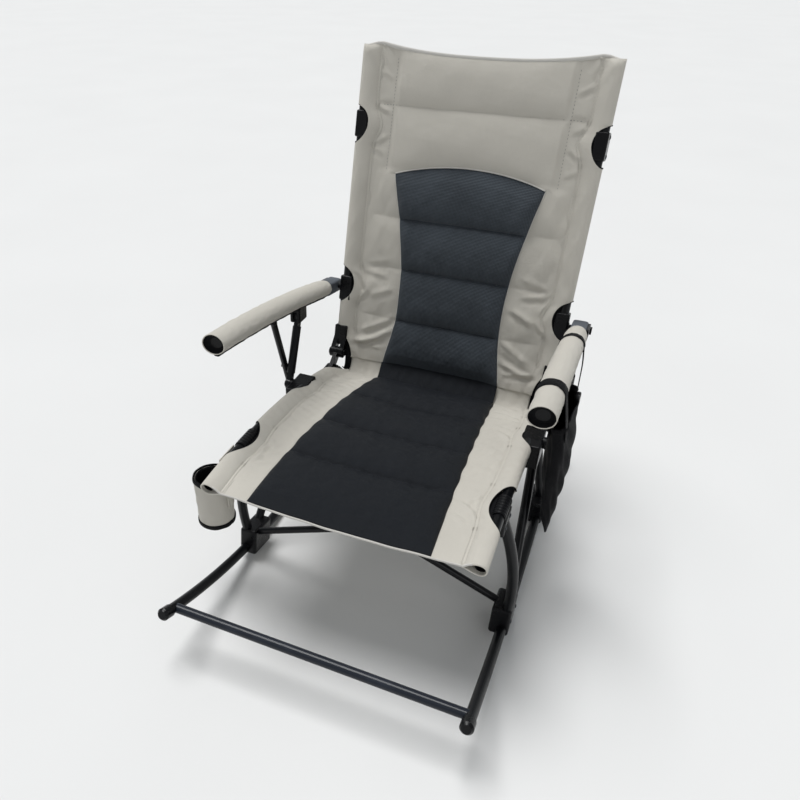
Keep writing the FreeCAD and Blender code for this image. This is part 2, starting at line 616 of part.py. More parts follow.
def back_knuckles():
    """Forked feet of the back tubes, which turn on the seat's hinge pins."""
    low_y = "back_low_y + 24 * sin(back_lean)"
    low_z = "back_low_z + 24 * cos(back_lean)"
    for side, sign in SIDES:
        name = f"back_knuckle_{side}"
        socket = moulded_block(name, "2 * (tongue_width / 2 + side_gap + cheek_width)", "knuckle_depth", "knuckle_height",
                               BACK + " * " + at(f"{sign} * half_seat", "0", "28"))
        pieces = [socket]
        for way in (-1, 1):
            middle = f"half_seat + {way} * (tongue_width / 2 + side_gap + cheek_width / 2)"
            pieces.append(plate(f"{name}_cheek{way}", f"{sign} * ({middle})", "cheek_width",
                                ("hinge_y", "hinge_z"), (low_y, low_z), "eye_radius - 3"))
            pieces.append(across(f"{name}_eye{way}", sign, f"{middle} - cheek_width / 2",
                                 f"{middle} + cheek_width / 2", "hinge_y", "hinge_z", "eye_radius"))
        hole = across(name + "_hole", sign, "half_seat - 40", "half_seat + 40", "hinge_y", "hinge_z",
                      "pin_radius + fit_gap")
        tube = back_solid(name + "_tube", sign, "tube_radius + fit_gap")
        swing = across(name + "_swing", sign, "half_seat - tongue_width / 2 - side_gap",
                       "half_seat + tongue_width / 2 + side_gap", "hinge_y", "hinge_z", "eye_radius + side_gap")
        keep(name, cut(name, fuse(name, *pieces), hole, tube, swing))


def upper_back_brackets():
    """Clamps in the upper half-moon openings and the stretcher they carry behind the sling."""
    ends = tuple(f"{sign} * (half_seat - 6)" for side, sign in SIDES)
    frame = BACK + " * " + at(ends[0], "stretcher_back", "upper_bracket_up", ALONG_X)
    for side, sign in SIDES:
        name = f"upper_back_bracket_{side}"
        place = BACK + " * " + at(f"{sign} * (half_seat - 1)", "(upper_block_reach - clamp_top) / 2", "upper_bracket_up")
        block = moulded_block(name, "upper_block_width", "clamp_top + upper_block_reach", "upper_block_height", place)
        bar = cylinder(name + "_bar", "brace_radius + fit_gap", "2 * (half_seat - 6)", frame)
        keep(name, cut(name, block, back_solid(name + "_tube", sign, "tube_radius + fit_gap"), bar))
    outer = cylinder("stretcher_outer", "brace_radius", "2 * (half_seat - 6)", frame)
    bore = cylinder("stretcher_bore", "brace_radius - tube_wall", "2 * (half_seat - 6)", frame)
    keep("back_stretcher", cut("back_stretcher", outer, bore))


def arm_pivot_brackets():
    """Clamps on the back tubes with the pins that the arms turn on."""
    inner = "half_rail - sleeve_radius"
    outer = "half_rail + sleeve_radius"
    for side, sign in SIDES:
        name = f"arm_pivot_bracket_{side}"
        place = BACK + " * " + at(f"{sign} * (half_seat - 0.5)", "0", "arm_pivot_up")
        block = moulded_block(name, "pivot_block_width", "2 * clamp_top", "pivot_block_height", place)
        clamp = cut(name, block, back_solid(name + "_tube", sign, "tube_radius + fit_gap"))
        pin = across(name + "_pin", sign, "half_seat + tube_radius + 1.5", f"{outer} + side_gap + 4",
                     "arm_pivot_y", "arm_pivot_z", "pin_radius")
        collar = across(name + "_collar", sign, f"{inner} - 2", f"{inner} - side_gap",
                        "arm_pivot_y", "arm_pivot_z", "pin_radius + 4")
        head = across(name + "_head", sign, f"{outer} + side_gap", f"{outer} + side_gap + 4",
                      "arm_pivot_y", "arm_pivot_z", "pin_radius + 3")
        keep(name, fuse(name, clamp, pin, collar, head))


def arm_arc(name, sign, radius, start="0", sweep="2 * arm_half"):
    """A round bar along the arm, from a start and over a sweep counted from its rear end."""
    return side_arc(name, f"{sign} * half_rail", "arm", radius, f"arm_start + {start}", sweep)


def arm_frame(x):
    """A frame at the arm's pivot with +Y to the rear along the arm."""
    return at(x, "arm_pivot_y", "arm_pivot_z", turned("x", "arm_tilt"))


def clevis_block(name, sign, grow):
    """The outside of the clamp under an arm, or the room for it in the sleeve."""
    height = "arm_mid_z + sqrt(arm_bend^2 - (support_y - arm_mid_y)^2) - support_z"
    low = "pin_radius + 7"
    x = f"{sign} * half_rail"
    middle = at(x, "support_y", f"support_z + ({height} + tube_radius + 5 - ({low})) / 2")
    tall = f"{height} + tube_radius + 5 + {low}"
    if grow == "0":
        return moulded_block(name, "26", "clevis_length", tall, middle)
    return box(name, f"26 + 2 * {grow}", f"clevis_length + 2 * {grow}", f"{tall} + 2 * {grow}",
               middle + " * " + at(f"0 - 13 - {grow}", f"0 - clevis_length / 2 - {grow}", f"0 - ({tall}) / 2 - {grow}"))


def arms():
    """Arm tubes with rear caps, padded sleeves, front plugs and the clamps of the supports."""
    front = "2 * arm_half"
    sleeve_start = "(arm_cap_length - arm_setback + soft_gap + 1.6) * arm_degree"
    for side, sign in SIDES:
        x = f"{sign} * half_rail"
        outer = arm_arc(f"arm_{side}_outer", sign, "tube_radius")
        bore = arm_arc(f"arm_{side}_bore", sign, "tube_radius - tube_wall")
        keep(f"arm_tube_{side}", cut(f"arm_tube_{side}", outer, bore))

        name = f"arm_rear_cap_{side}"
        block = moulded_block(name, "2 * sleeve_radius", "arm_cap_length + arm_cap_tail", "2 * sleeve_radius - 8",
                              arm_frame(x) + " * " + at("0", "(arm_cap_tail - arm_cap_length) / 2", "0"))
        tube = arm_arc(name + "_tube", sign, "tube_radius + fit_gap")
        hole = across(name + "_hole", sign, "half_rail - 40", "half_rail + 40", "arm_pivot_y", "arm_pivot_z",
                      "pin_radius + fit_gap")
        keep(name, cut(name, block, tube, hole))

        name = f"arm_sleeve_{side}"
        pad = arm_arc(name + "_pad", sign, "sleeve_radius", sleeve_start,
                      f"{front} + sleeve_front * arm_degree - {sleeve_start}")
        inside = arm_arc(name + "_tube", sign, "tube_radius + fit_gap")
        mouth = arm_arc(name + "_mouth", sign, "plug_radius + fit_gap", front, "2 * sleeve_front * arm_degree")
        keep(name, cut(name, pad, inside, mouth, clevis_block(name + "_room", sign, "soft_gap")))

        name = f"arm_front_plug_{side}"
        keep(name, arm_arc(name, sign, "plug_radius", front, "(sleeve_front - plug_depth) * arm_degree"))

        name = f"arm_clevis_{side}"
        block = clevis_block(name, sign, "0")
        gap = "tongue_width + 2 * side_gap"
        slot = box(name + "_slot", gap, "90", "eye_radius + side_gap + 60",
                   at(f"{x} - ({gap}) / 2", "support_y - 45", "support_z - 60"))
        pin = across(name + "_pin", sign, "half_rail - 12", "half_rail + 12", "support_y", "support_z", "pin_radius")
        tube = arm_arc(name + "_tube", sign, "tube_radius + fit_gap")
        keep(name, fuse(name, cut(name, block, tube, slot), pin))


def support_share(share):
    """A point on the line from the seat pivot to the arm pivot of a support."""
    return f"mid_y + (support_y - mid_y) * ({share})", f"mid_z + (support_z - mid_z) * ({share})"


def arm_supports():
    """Tubes with flat eyes between the seat's pins and the clamps under the arms."""
    length = "sqrt((support_y - mid_y)^2 + (support_z - mid_z)^2)"
    for side, sign in SIDES:
        name = f"arm_support_{side}"
        x = f"{sign} * half_rail"
        low = support_share(f"support_clear / {length}")
        top = support_share(f"1 - support_clear / {length}")
        tube = rod(name + "_tube", (x, *low), (x, *top), "strut_radius")
        bar = plate(name + "_bar", x, "tongue_width", ("mid_y", "mid_z"), ("support_y", "support_z"), "strut_radius - 1")
        pieces = [tube, bar]
        holes = []
        for place, (y, z) in (("low", ("mid_y", "mid_z")), ("top", ("support_y", "support_z"))):
            thick = ("half_rail - tongue_width / 2", "half_rail + tongue_width / 2")
            pieces.append(across(f"{name}_{place}", sign, *thick, y, z, "eye_radius"))
            holes.append(across(f"{name}_{place}_hole", sign, "half_rail - 40", "half_rail + 40", y, z,
                                "pin_radius + fit_gap"))
        rivet = across(name + "_rivet", sign, "half_rail", "half_rail + 40", *stop_crossing(), "rivet_radius + fit_gap")
        keep(name, cut(name, fuse(name, *pieces), *holes, rivet))


def stop_crossing():
    """Where a stop strut is riveted to its arm support."""
    return support_share("0.24")


def stop_struts():
    """Struts riveted to the supports, whose tops meet the arms and stop the recline."""
    y, z = stop_crossing()
    aside = "half_rail + strut_radius + stop_radius"
    for side, sign in SIDES:
        name = f"stop_strut_{side}"
        x = f"{sign} * ({aside})"
        bar = rod(name + "_bar", (x, f"{y} + 18", f"{z} - 52"), (x, f"{y} - 49", f"{z} + 145"), "stop_radius")
        bore = rod(name + "_bore", (x, f"{y} + 18", f"{z} - 52"), (x, f"{y} - 49", f"{z} + 145"),
                   "stop_radius - tube_wall")
        rivet = across(name + "_rivet", sign, "half_rail + 2", f"{aside} + stop_radius + 1.5", y, z, "rivet_radius")
        keep(name, fuse(name, cut(name, bar, bore), rivet))


def half_moon(name, sign, middle, deep):
    """A round cutter through a sling's outer edge; middle is its frame on the tube axis."""
    reach = "sleeve_out + moon_radius - moon_depth"
    return cylinder(name, "moon_radius", f"2 * {deep}",
                    middle + " * " + at(f"{sign} * ({reach})", "0", f"0 - {deep}"))


def seat_sector(name, low, high, x, width):
    """A slab that follows the seat tubes' arc between two offsets from their axis."""
    place = at(x, "seat_mid_y", "seat_mid_z",
               f"{SIDE_PLANE} * {turned('z', 'seat_start - seat_tail * seat_degree')}")
    sweep = "2 * seat_half + (seat_over + seat_tail) * seat_degree"
    outer = cylinder(name + "_top", f"seat_bend + {high}", width, place, sweep)
    inner = cylinder(name + "_under", f"seat_bend - {low}", width, place)
    return cut(name, outer, inner)


def seat_panel_outline(name):
    """A tapering block over the middle of the seat."""
    thing = doc.addObject("Part::Wedge", name)
    bind(thing, Xmin="0 - seat_panel_front", Xmax="seat_panel_front", Zmin="0", Zmax="2 * seat_front_z")
    bind(thing, X2min="0 - seat_panel_rear", X2max="seat_panel_rear", Z2min="0", Z2max="2 * seat_front_z")
    bind(thing, Ymin="seat_front_y - 2 * seat_over", Ymax="seat_rear_y + 2 * seat_tail")
    return thing


def seat_panel():
    """The padded middle of the seat, sewn into channels across it."""
    rolls = []
    for number in range(SEAT_CHANNELS):
        angle = f"(seat_start - seat_tail * seat_degree + seat_pitch * ({number} + 0.5))"
        reach = "(seat_bend + sling_half + channel_crown - seat_channel_bend)"
        place = at("0 - seat_panel_front", f"seat_mid_y + {reach} * cos({angle})",
                   f"seat_mid_z + {reach} * sin({angle})", ALONG_X)
        rolls.append(cylinder(f"seat_channel{number}", "seat_channel_bend", "2 * seat_panel_front", place))
    slab = seat_sector("seat_panel_slab", "sling_half", "sling_half + 2 * channel_crown",
                       "0 - seat_panel_front", "2 * seat_panel_front")
    swelled = common("seat_panel_rolls", fuse("seat_channels", *rolls), slab)
    keep("seat_panel", common("seat_panel", swelled, seat_panel_outline("seat_panel_outline")))


def seat_sides():
    """The seat's side borders and the sleeves on its tubes, open round the brackets."""
    sleeve_from = "seat_start + (hub_length / 2 + 12) * seat_degree"
    sleeve_over = "2 * seat_half - (hub_length / 2 + 12 - seat_over) * seat_degree"
    for side, sign in SIDES:
        name = f"seat_side_{side}"
        x = f"{sign} * half_seat"
        border = seat_sector(name + "_slab", "sling_half", "sling_half", "0" if sign > 0 else x, "half_seat")
        sleeve = side_arc(name + "_sleeve", x, "seat", "sleeve_out", sleeve_from, sleeve_over)
        low_x = "half_seat - 26" if sign > 0 else "0 - half_seat - 60"
        tools = [seat_panel_outline(name + "_outline"),
                 seat_solid(name + "_tube", sign, "tube_radius + fit_gap"),
                 half_moon(name + "_moon_front", sign, at(x, "front_bracket_y", "front_bracket_z"), "60"),
                 half_moon(name + "_moon_mid", sign, at(x, "mid_y", "mid_z"), "60")]
        rooms = (("front", "front_bracket_y - 36", "72"), ("mid", "mid_y - 46", "86"), ("hinge", "seat_rear_y - 46", "160"))
        for place, y, length in rooms:
            tools.append(box(f"{name}_{place}", "86", length, "200", at(low_x, y, "seat_rear_z - 60")))
        keep(name, cut(name, fuse(name, border, sleeve), *tools))


def back_box(name, half_width, low, top, front, rear):
    """A block in the back's frame between two heights and two depths."""
    place = BACK + " * " + at(f"0 - ({half_width})", front, low)
    return box(name, f"2 * ({half_width})", f"{rear} - ({front})", f"{top} - ({low})", place)


def back_taper(name, low, low_half, top, top_half):
    """A block through the back sling whose half width changes from one height to another."""
    thing = doc.addObject("Part::Wedge", name)
    bind(thing, Xmin=f"0 - {low_half}", Xmax=low_half, Zmin="0 - 60", Zmax="60", Ymin=low)
    bind(thing, X2min=f"0 - {top_half}", X2max=top_half, Z2min="0 - 60", Z2max="60", Ymax=top)
    return bind(thing, Placement=BACK + " * " + at("0", "0", "0", turned("x", "90")))


def back_panel_outline(name):
    """The back panel's waisted outline with an arched head."""
    foot = back_taper(name + "_foot", "back_sling_low - 20", "back_panel_foot", "back_waist_low", "back_panel_waist")
    waist = back_taper(name + "_waist", "back_waist_low", "back_panel_waist", "back_waist_top", "back_panel_waist")
    chest = back_taper(name + "_chest", "back_waist_top", "back_panel_waist", "back_panel_top", "back_panel_head")
    dome = cylinder(name + "_dome", "arch_bend", "120",
                    BACK + " * " + at("0", "60", "back_panel_top + back_panel_arch - arch_bend", turned("x", "90")))
    cap = back_box(name + "_cap", "back_panel_head", "back_panel_top", "back_panel_top + back_panel_arch + 2",
                   "0 - 60", "60")
    return fuse(name, foot, waist, chest, common(name + "_arch", dome, cap))


def back_rolls(name, count, low, pitch, bend, half_width):
    """Padded channels across the back, swelling to the front."""
    rolls = []
    for number in range(count):
        place = BACK + " * " + at(f"0 - ({half_width})", f"{bend} - sling_half - channel_crown",
                                  f"{low} + {pitch} * ({number} + 0.5)", ALONG_X)
        rolls.append(cylinder(f"{name}{number}", bend, f"2 * ({half_width})", place))
    top = f"{low} + {pitch} * {count}"
    slab = back_box(name + "_slab", half_width, low, top, "0 - sling_half - 2 * channel_crown", "sling_half")
    return common(name, fuse(name, *rolls), slab)


def back_panel():
    """The dark mesh middle of the back, sewn into channels up to its arched head."""
    rolls = back_rolls("back_channel", BACK_CHANNELS, "back_sling_low", "back_pitch", "back_channel_bend",
                       "back_panel_head")
    head = back_box("back_panel_head_slab", "back_panel_head", "back_panel_top",
                    "back_panel_top + back_panel_arch + 2", "0 - sling_half", "sling_half")
    keep("back_panel", common("back_panel", fuse("back_panel_solid", rolls, head), back_panel_outline("panel_edge")))


def back_cover():
    """The back's borders, headrest channels and tube sleeves, open round the brackets."""
    sheet = back_box("back_cover_sheet", "half_seat", "back_sling_low", "back_sling_top - 6", "0 - sling_half",
                     "sling_half")
    rolls = back_rolls("head_channel", HEAD_CHANNELS, "back_panel_top", "head_pitch", "head_channel_bend",
                       "half_seat - 60")
    pieces = [sheet, rolls]
    tools = [back_panel_outline("cover_edge")]
    for side, sign in SIDES:
        x = f"{sign} * half_seat"
        pieces.append(cylinder(f"back_sleeve_{side}", "sleeve_out", "back_sling_top - 58",
                               BACK + " * " + at(x, "0", "58")))
        tools.append(back_solid(f"back_cover_tube_{side}", sign, "tube_radius + fit_gap"))
        low_x = "half_seat - 24" if sign > 0 else "0 - half_seat - 60"
        rooms = (("upper", "upper_bracket_up", "32"), ("arm", "arm_pivot_up", "34"), ("foot", "0", "57"))
        for place, height, half in rooms:
            frame = BACK + " * " + at(x, "0", height, turned("x", "90"))
            if place != "foot":
                tools.append(half_moon(f"back_moon_{place}_{side}", sign, frame, "60"))
            tools.append(box(f"back_room_{place}_{side}", "84", "120", f"2 * {half}",
                             BACK + " * " + at(low_x, "0 - 60", f"{height} - {half}")))
    keep("back_cover", cut("back_cover", fuse("back_cover", *pieces), *tools))


def cup_holder():
    """A cloth cup on a tab that hangs from the seat's side sleeve."""
    x = "0 - cup_x"
    low = "cup_top_z - cup_height"
    outside = cylinder("cup_outside", "cup_radius", "cup_height", at(x, "cup_y", low))
    inside = cylinder("cup_inside", "cup_radius - cup_wall", "cup_height", at(x, "cup_y", f"{low} + cup_wall"))
    top = "seat_mid_z + sqrt(seat_bend^2 - (cup_y - seat_mid_y)^2)"
    tab = box("cup_tab", "cup_tab_thick", "cup_tab_width", f"{top} + 4 - (cup_top_z - cup_height / 2)",
              at("0 - half_seat - sleeve_out - soft_gap - cup_tab_thick", "cup_y - cup_tab_width / 2",
                 "cup_top_z - cup_height / 2"))
    link = box("cup_link", "cup_wall + 2 * soft_gap", "cup_tab_width / 3", "cup_height / 2",
               at(f"{x} + cup_radius - cup_wall + soft_gap", "cup_y - cup_tab_width / 6", "cup_top_z - cup_height / 2"))
    keep("cup_holder", cut("cup_holder", fuse("cup_holder", outside, tab, link), inside))


def pocket_half(name, inset, low, high, low_edges, high_edges):
    """One tapering half of the pocket, or its hollow where inset is the wall."""
    thing = doc.addObject("Part::Wedge", name)
    for place, (front, rear, inner, width) in (("", low_edges), ("2", high_edges)):
        bind(thing, **{f"X{place}min": f"{inner} + {inset}", f"X{place}max": f"{inner} + {width} - {inset}",
                       f"Z{place}min": f"0 - ({rear}) + {inset}", f"Z{place}max": f"0 - ({front}) - {inset}"})
    bind(thing, Ymin=low, Ymax=high)
    return bind(thing, Placement=at("0", "0", "0", turned("x", "90")))


def side_pocket():
    """A hanging cloth pocket under the right arm, open at its top."""
    share = "(pocket_belly_z - pocket_low_z) / (pocket_top_z - pocket_low_z)"
    foot = ("pocket_foot_front_y", "pocket_foot_rear_y", "pocket_foot_inner", "pocket_foot")
    belly = (f"pocket_foot_front_y + (pocket_front_y - pocket_foot_front_y) * {share}",
             f"pocket_foot_rear_y + (pocket_rear_y - pocket_foot_rear_y) * {share}", "pocket_inner", "pocket_belly")
    mouth = ("pocket_front_y", "pocket_rear_y", "pocket_inner", "pocket_mouth")
    low = pocket_half("pocket_low", "0", "pocket_low_z", "pocket_belly_z", foot, belly)
    high = pocket_half("pocket_high", "0", "pocket_belly_z", "pocket_top_z", belly, mouth)
    hollow_low = pocket_half("pocket_hollow_low", "pocket_wall", "pocket_low_z + pocket_wall", "pocket_belly_z",
                             foot, belly)
    hollow_high = pocket_half("pocket_hollow_high", "pocket_wall", "pocket_belly_z", "pocket_top_z", belly, mouth)
    hollow = fuse("pocket_hollow", hollow_low, hollow_high)
    keep("side_pocket", cut("side_pocket", fuse("side_pocket", low, high), hollow))


def strap_loop(name, place):
    """A webbing loop round the right arm sleeve, solid, and the bar that hollows it."""
    middle = f"acos((strap_{place}_y - arm_mid_y) / arm_bend) / 1deg - arm_start"
    start = f"{middle} - strap_width / 2 * arm_degree"
    loop = arm_arc(name + "_loop", 1, "sleeve_radius + strap_thick", start, "strap_width * arm_degree")
    inside = arm_arc(name + "_inside", 1, "sleeve_radius + fit_gap", f"{start} - arm_degree",
                     "(strap_width + 2) * arm_degree")
    return loop, inside


def pocket_straps():
    """Webbing loops round the right arm: one over the pocket's mouth, one that ties its rear edge."""
    aside = "half_rail + sleeve_radius + fit_gap"
    name = "pocket_strap_front"
    loop, inside = strap_loop(name, "front")
    drop = box(name + "_drop", "strap_thick", "strap_width - 2", "arm_front_z - pocket_top_z",
               at(aside, "strap_front_y - strap_width / 2 + 1", "pocket_top_z + soft_gap"))
    bar = box(name + "_bar", "pocket_mouth", "strap_width - 2", "strap_thick",
              at("pocket_inner", "strap_front_y - strap_width / 2 + 1", "pocket_top_z + soft_gap"))
    keep(name, cut(name, fuse(name, loop, drop, bar), inside))
    name = "pocket_strap_rear"
    loop, inside = strap_loop(name, "rear")
    level = "(arm_mid_z + sqrt(arm_bend^2 - (strap_rear_y - arm_mid_y)^2))"
    outside = "half_rail + strut_radius + 2 * stop_radius + 2"
    turn = box(name + "_turn", f"{outside} + strap_thick - ({aside})", "strap_width - 2", "strap_width - 2",
               at(aside, "strap_rear_y - strap_width / 2 + 1", f"{level} - strap_width / 2 + 1"))
    drop = box(name + "_drop", "strap_thick", "strap_width - 2", f"{level} - strap_low_z",
               at(outside, "strap_rear_y - strap_width / 2 + 1", "strap_low_z"))
    tie = box(name + "_tie", "strap_thick", "strap_rear_y - pocket_rear_y - soft_gap", "strap_width",
              at(outside, "pocket_rear_y + soft_gap", "strap_low_z"))
    buckle = box(name + "_buckle", "buckle_width", "buckle_length", "buckle_height",
                 at(outside, "strap_rear_y - strap_width - buckle_length", "strap_low_z - buckle_height / 6"))
    keep(name, cut(name, fuse(name, loop, turn, drop, tie, buckle), inside))


def build():
    make_sheets()
    rocker_rails()
    rail_caps()
    tie_bars()
    hubs()
    legs_and_struts()
    front_braces()
    seat_tubes()
    seat_front_brackets()
    seat_mid_brackets()
    seat_hinge_brackets()
    seat_panel()
    seat_sides()
    cup_holder()
    back_tubes()
    back_knuckles()
    upper_back_brackets()
    arm_pivot_brackets()
    back_panel()
    back_cover()
    arms()
    arm_supports()
    stop_struts()
    side_pocket()
    pocket_straps()
    doc.recompute()


def check():
    """Stop if an object failed or a sub-part is not one valid solid."""
    for thing in doc.Objects:
        if "Invalid" in thing.State or "Error" in thing.State:
            raise RuntimeError(f"{thing.Name}: {thing.State}")
    faults = []
    for thing in sub_parts:
        shape = thing.Shape
        if shape.isNull() or not shape.isValid() or len(shape.Solids) != 1:
            faults.append(f"{thing.Label}: {len(shape.Solids)} solids, valid {shape.isValid()}")
    if faults:
        raise RuntimeError("; ".join(faults))


def export():
    os.makedirs("parts", exist_ok=True)
    for thing in sub_parts:
        thing.Shape.exportStep(os.path.join("parts", thing.Label + ".step"))
    print(len(sub_parts), "sub-parts")


build()
check()
export()
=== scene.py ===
"""Looks of the folding rocking chair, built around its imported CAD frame.

The sling, its panels, the arm sleeves, the cup holder and the pocket are surfaces
worked out with numpy on the same side-view lines as the CAD solids. Tubes and
moulded brackets are the CAD's own, apart from the arms' rear caps, and get ribs,
rivets and end caps. Finishes are made of shader nodes.
Lengths are metres, in the chair's frame: +Z up, the sitter faces -Y.
"""
from __future__ import annotations

import logging
import math
from dataclasses import dataclass, field
from enum import Enum

import bmesh
import bpy
import numpy as np
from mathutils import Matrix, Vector

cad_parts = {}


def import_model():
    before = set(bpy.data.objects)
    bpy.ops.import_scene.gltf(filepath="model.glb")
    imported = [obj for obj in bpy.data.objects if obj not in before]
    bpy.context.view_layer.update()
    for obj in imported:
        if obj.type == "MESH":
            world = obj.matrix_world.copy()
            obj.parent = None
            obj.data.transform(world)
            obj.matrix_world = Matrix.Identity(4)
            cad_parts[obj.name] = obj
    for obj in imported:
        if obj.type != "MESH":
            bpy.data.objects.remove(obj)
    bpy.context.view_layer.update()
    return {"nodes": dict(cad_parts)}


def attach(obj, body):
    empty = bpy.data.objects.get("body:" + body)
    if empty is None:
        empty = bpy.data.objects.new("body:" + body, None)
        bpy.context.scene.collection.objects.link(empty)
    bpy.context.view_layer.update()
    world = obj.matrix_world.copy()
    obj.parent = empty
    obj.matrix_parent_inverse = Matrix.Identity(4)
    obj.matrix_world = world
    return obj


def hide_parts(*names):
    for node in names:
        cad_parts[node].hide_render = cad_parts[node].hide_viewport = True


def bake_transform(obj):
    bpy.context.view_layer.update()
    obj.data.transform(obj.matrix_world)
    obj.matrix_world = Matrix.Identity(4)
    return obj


Array = np.ndarray
Line = tuple[np.ndarray, np.ndarray]
Thing = bpy.types.Object
Socket = bpy.types.NodeSocket
ACROSS = (1.0, 0.0, 0.0)
log = logging.getLogger("rocking_chair")


class Side(Enum):
    """The two sides of the chair, by the sign of X."""

    LEFT = -1
    RIGHT = 1

    @property
    def word(self) -> str:
        """The side's name as the CAD nodes write it."""
        return self.name.lower()


class Weave(Enum):
    """How the threads of a cloth show."""

    PLAIN = "plain"
    BASKET = "basket"
    RIBBED = "ribbed"


# Small numeric helpers


def ease(low: float, high: float, value: Array) -> Array:
    """A smooth step from 0 at low to 1 at high.

    Args:
        low: Where the step starts.
        high: Where the step ends.
        value: The numbers to map.

    Returns:
        The cubic step of each number.
    """
    t = np.clip((np.asarray(value, float) - low) / (high - low), 0.0, 1.0)
    return t * t * (3.0 - 2.0 * t)


def bell(value: Array, width: float) -> Array:
    """A bell curve of unit height and the given width around zero."""
    return np.exp(-((np.asarray(value, float) / width) ** 2))


def crumple(u: Array, v: Array, seed: int, wave: float, count: int = 7) -> Array:
    """A seeded field of soft creases: a mean of sine waves in scattered directions.

    Args:
        u: First coordinate in metres.
        v: Second coordinate in metres.
        seed: Picks the directions and phases.
        wave: Mean wavelength in metres.
        count: Number of waves.

    Returns:
        Values from about -1 to 1.
    """
    rng = np.random.default_rng(seed)
    angle = rng.uniform(0.0, math.pi, count)
    length = wave * rng.uniform(0.6, 1.7, count)
    phase = rng.uniform(0.0, 2.0 * math.pi, count)
    shape = (count,) + (1,) * np.ndim(u)
    along = np.cos(angle).reshape(shape) * u + np.sin(angle).reshape(shape) * v
    waves = np.sin(2.0 * math.pi * along / length.reshape(shape) + phase.reshape(shape))
    return waves.mean(axis=0) * 1.6


def spread(low: float, high: float, count: int) -> Array:
    """Evenly spaced numbers from low to high."""
    return np.linspace(low, high, count)


def curve_through(knots: Array, values: Array, at: Array) -> Array:
    """A smooth curve through knots: cubic Hermite pieces with mean slopes.

    Args:
        knots: Rising places.
        values: Value at each place.
        at: Where the curve is wanted.

    Returns:
        The curve's value at each wanted place.
    """
    slopes = np.gradient(values, knots)
    place = np.clip(np.searchsorted(knots, at) - 1, 0, len(knots) - 2)
    width = knots[place + 1] - knots[place]
    t = np.clip((at - knots[place]) / width, 0.0, 1.0)
    a, b = values[place], values[place + 1]
    sa, sb = slopes[place] * width, slopes[place + 1] * width
    near = (2 * t**3 - 3 * t**2 + 1) * a + (t**3 - 2 * t**2 + t) * sa
    return near + (3 * t**2 - 2 * t**3) * b + (t**3 - t**2) * sb


def channel_share(run: Array, marks: Array) -> Array:
    """Share of the way from one seam to the next that each run lies at.

    Args:
        run: Places along the cloth.
        marks: Rising places of the seams, with the two ends.

    Returns:
        Values from 0 to 1 within each channel.
    """
    place = np.clip(np.searchsorted(marks, run) - 1, 0, len(marks) - 2)
    return np.clip((run - marks[place]) / (marks[place + 1] - marks[place]), 0.0, 1.0)


def unit(vectors: Array) -> Array:
    """The vectors scaled to unit length."""
    return vectors / np.maximum(np.linalg.norm(vectors, axis=-1, keepdims=True), 1e-12)


def turns(count: int) -> Array:
    """Angles of evenly spaced points round a full turn."""
    return np.linspace(0.0, 2.0 * math.pi, count, endpoint=False)


def chart(across: Array, along: Array) -> Array:
    """Cloth map of a grid, from a coordinate for each column and one for each row."""
    return np.stack(np.broadcast_arrays(across[None, :], along[:, None]), axis=-1)


# Meshes


def turned(mesh: bpy.types.Mesh, weld: float = 0.0) -> None:
    """Merge a mesh's close points, if asked, and make its faces look the same way.

    Args:
        mesh: The mesh, changed in place.
        weld: Distance within which points merge, or 0.
    """
    work = bmesh.new()
    work.from_mesh(mesh)
    if weld > 0.0:
        bmesh.ops.remove_doubles(work, verts=work.verts, dist=weld)
        bmesh.ops.dissolve_degenerate(work, edges=work.edges, dist=1e-6)
    bmesh.ops.recalc_face_normals(work, faces=work.faces)
    work.to_mesh(mesh)
    work.free()


def placed(name: str, data: bpy.types.ID) -> Thing:
    """Put a mesh, a lamp or a camera into the scene.

    Args:
        name: Name of the object.
        data: What it shows.

    Returns:
        The object, at the origin.
    """
    thing = bpy.data.objects.new(name, data)
    bpy.context.scene.collection.objects.link(thing)
    return thing


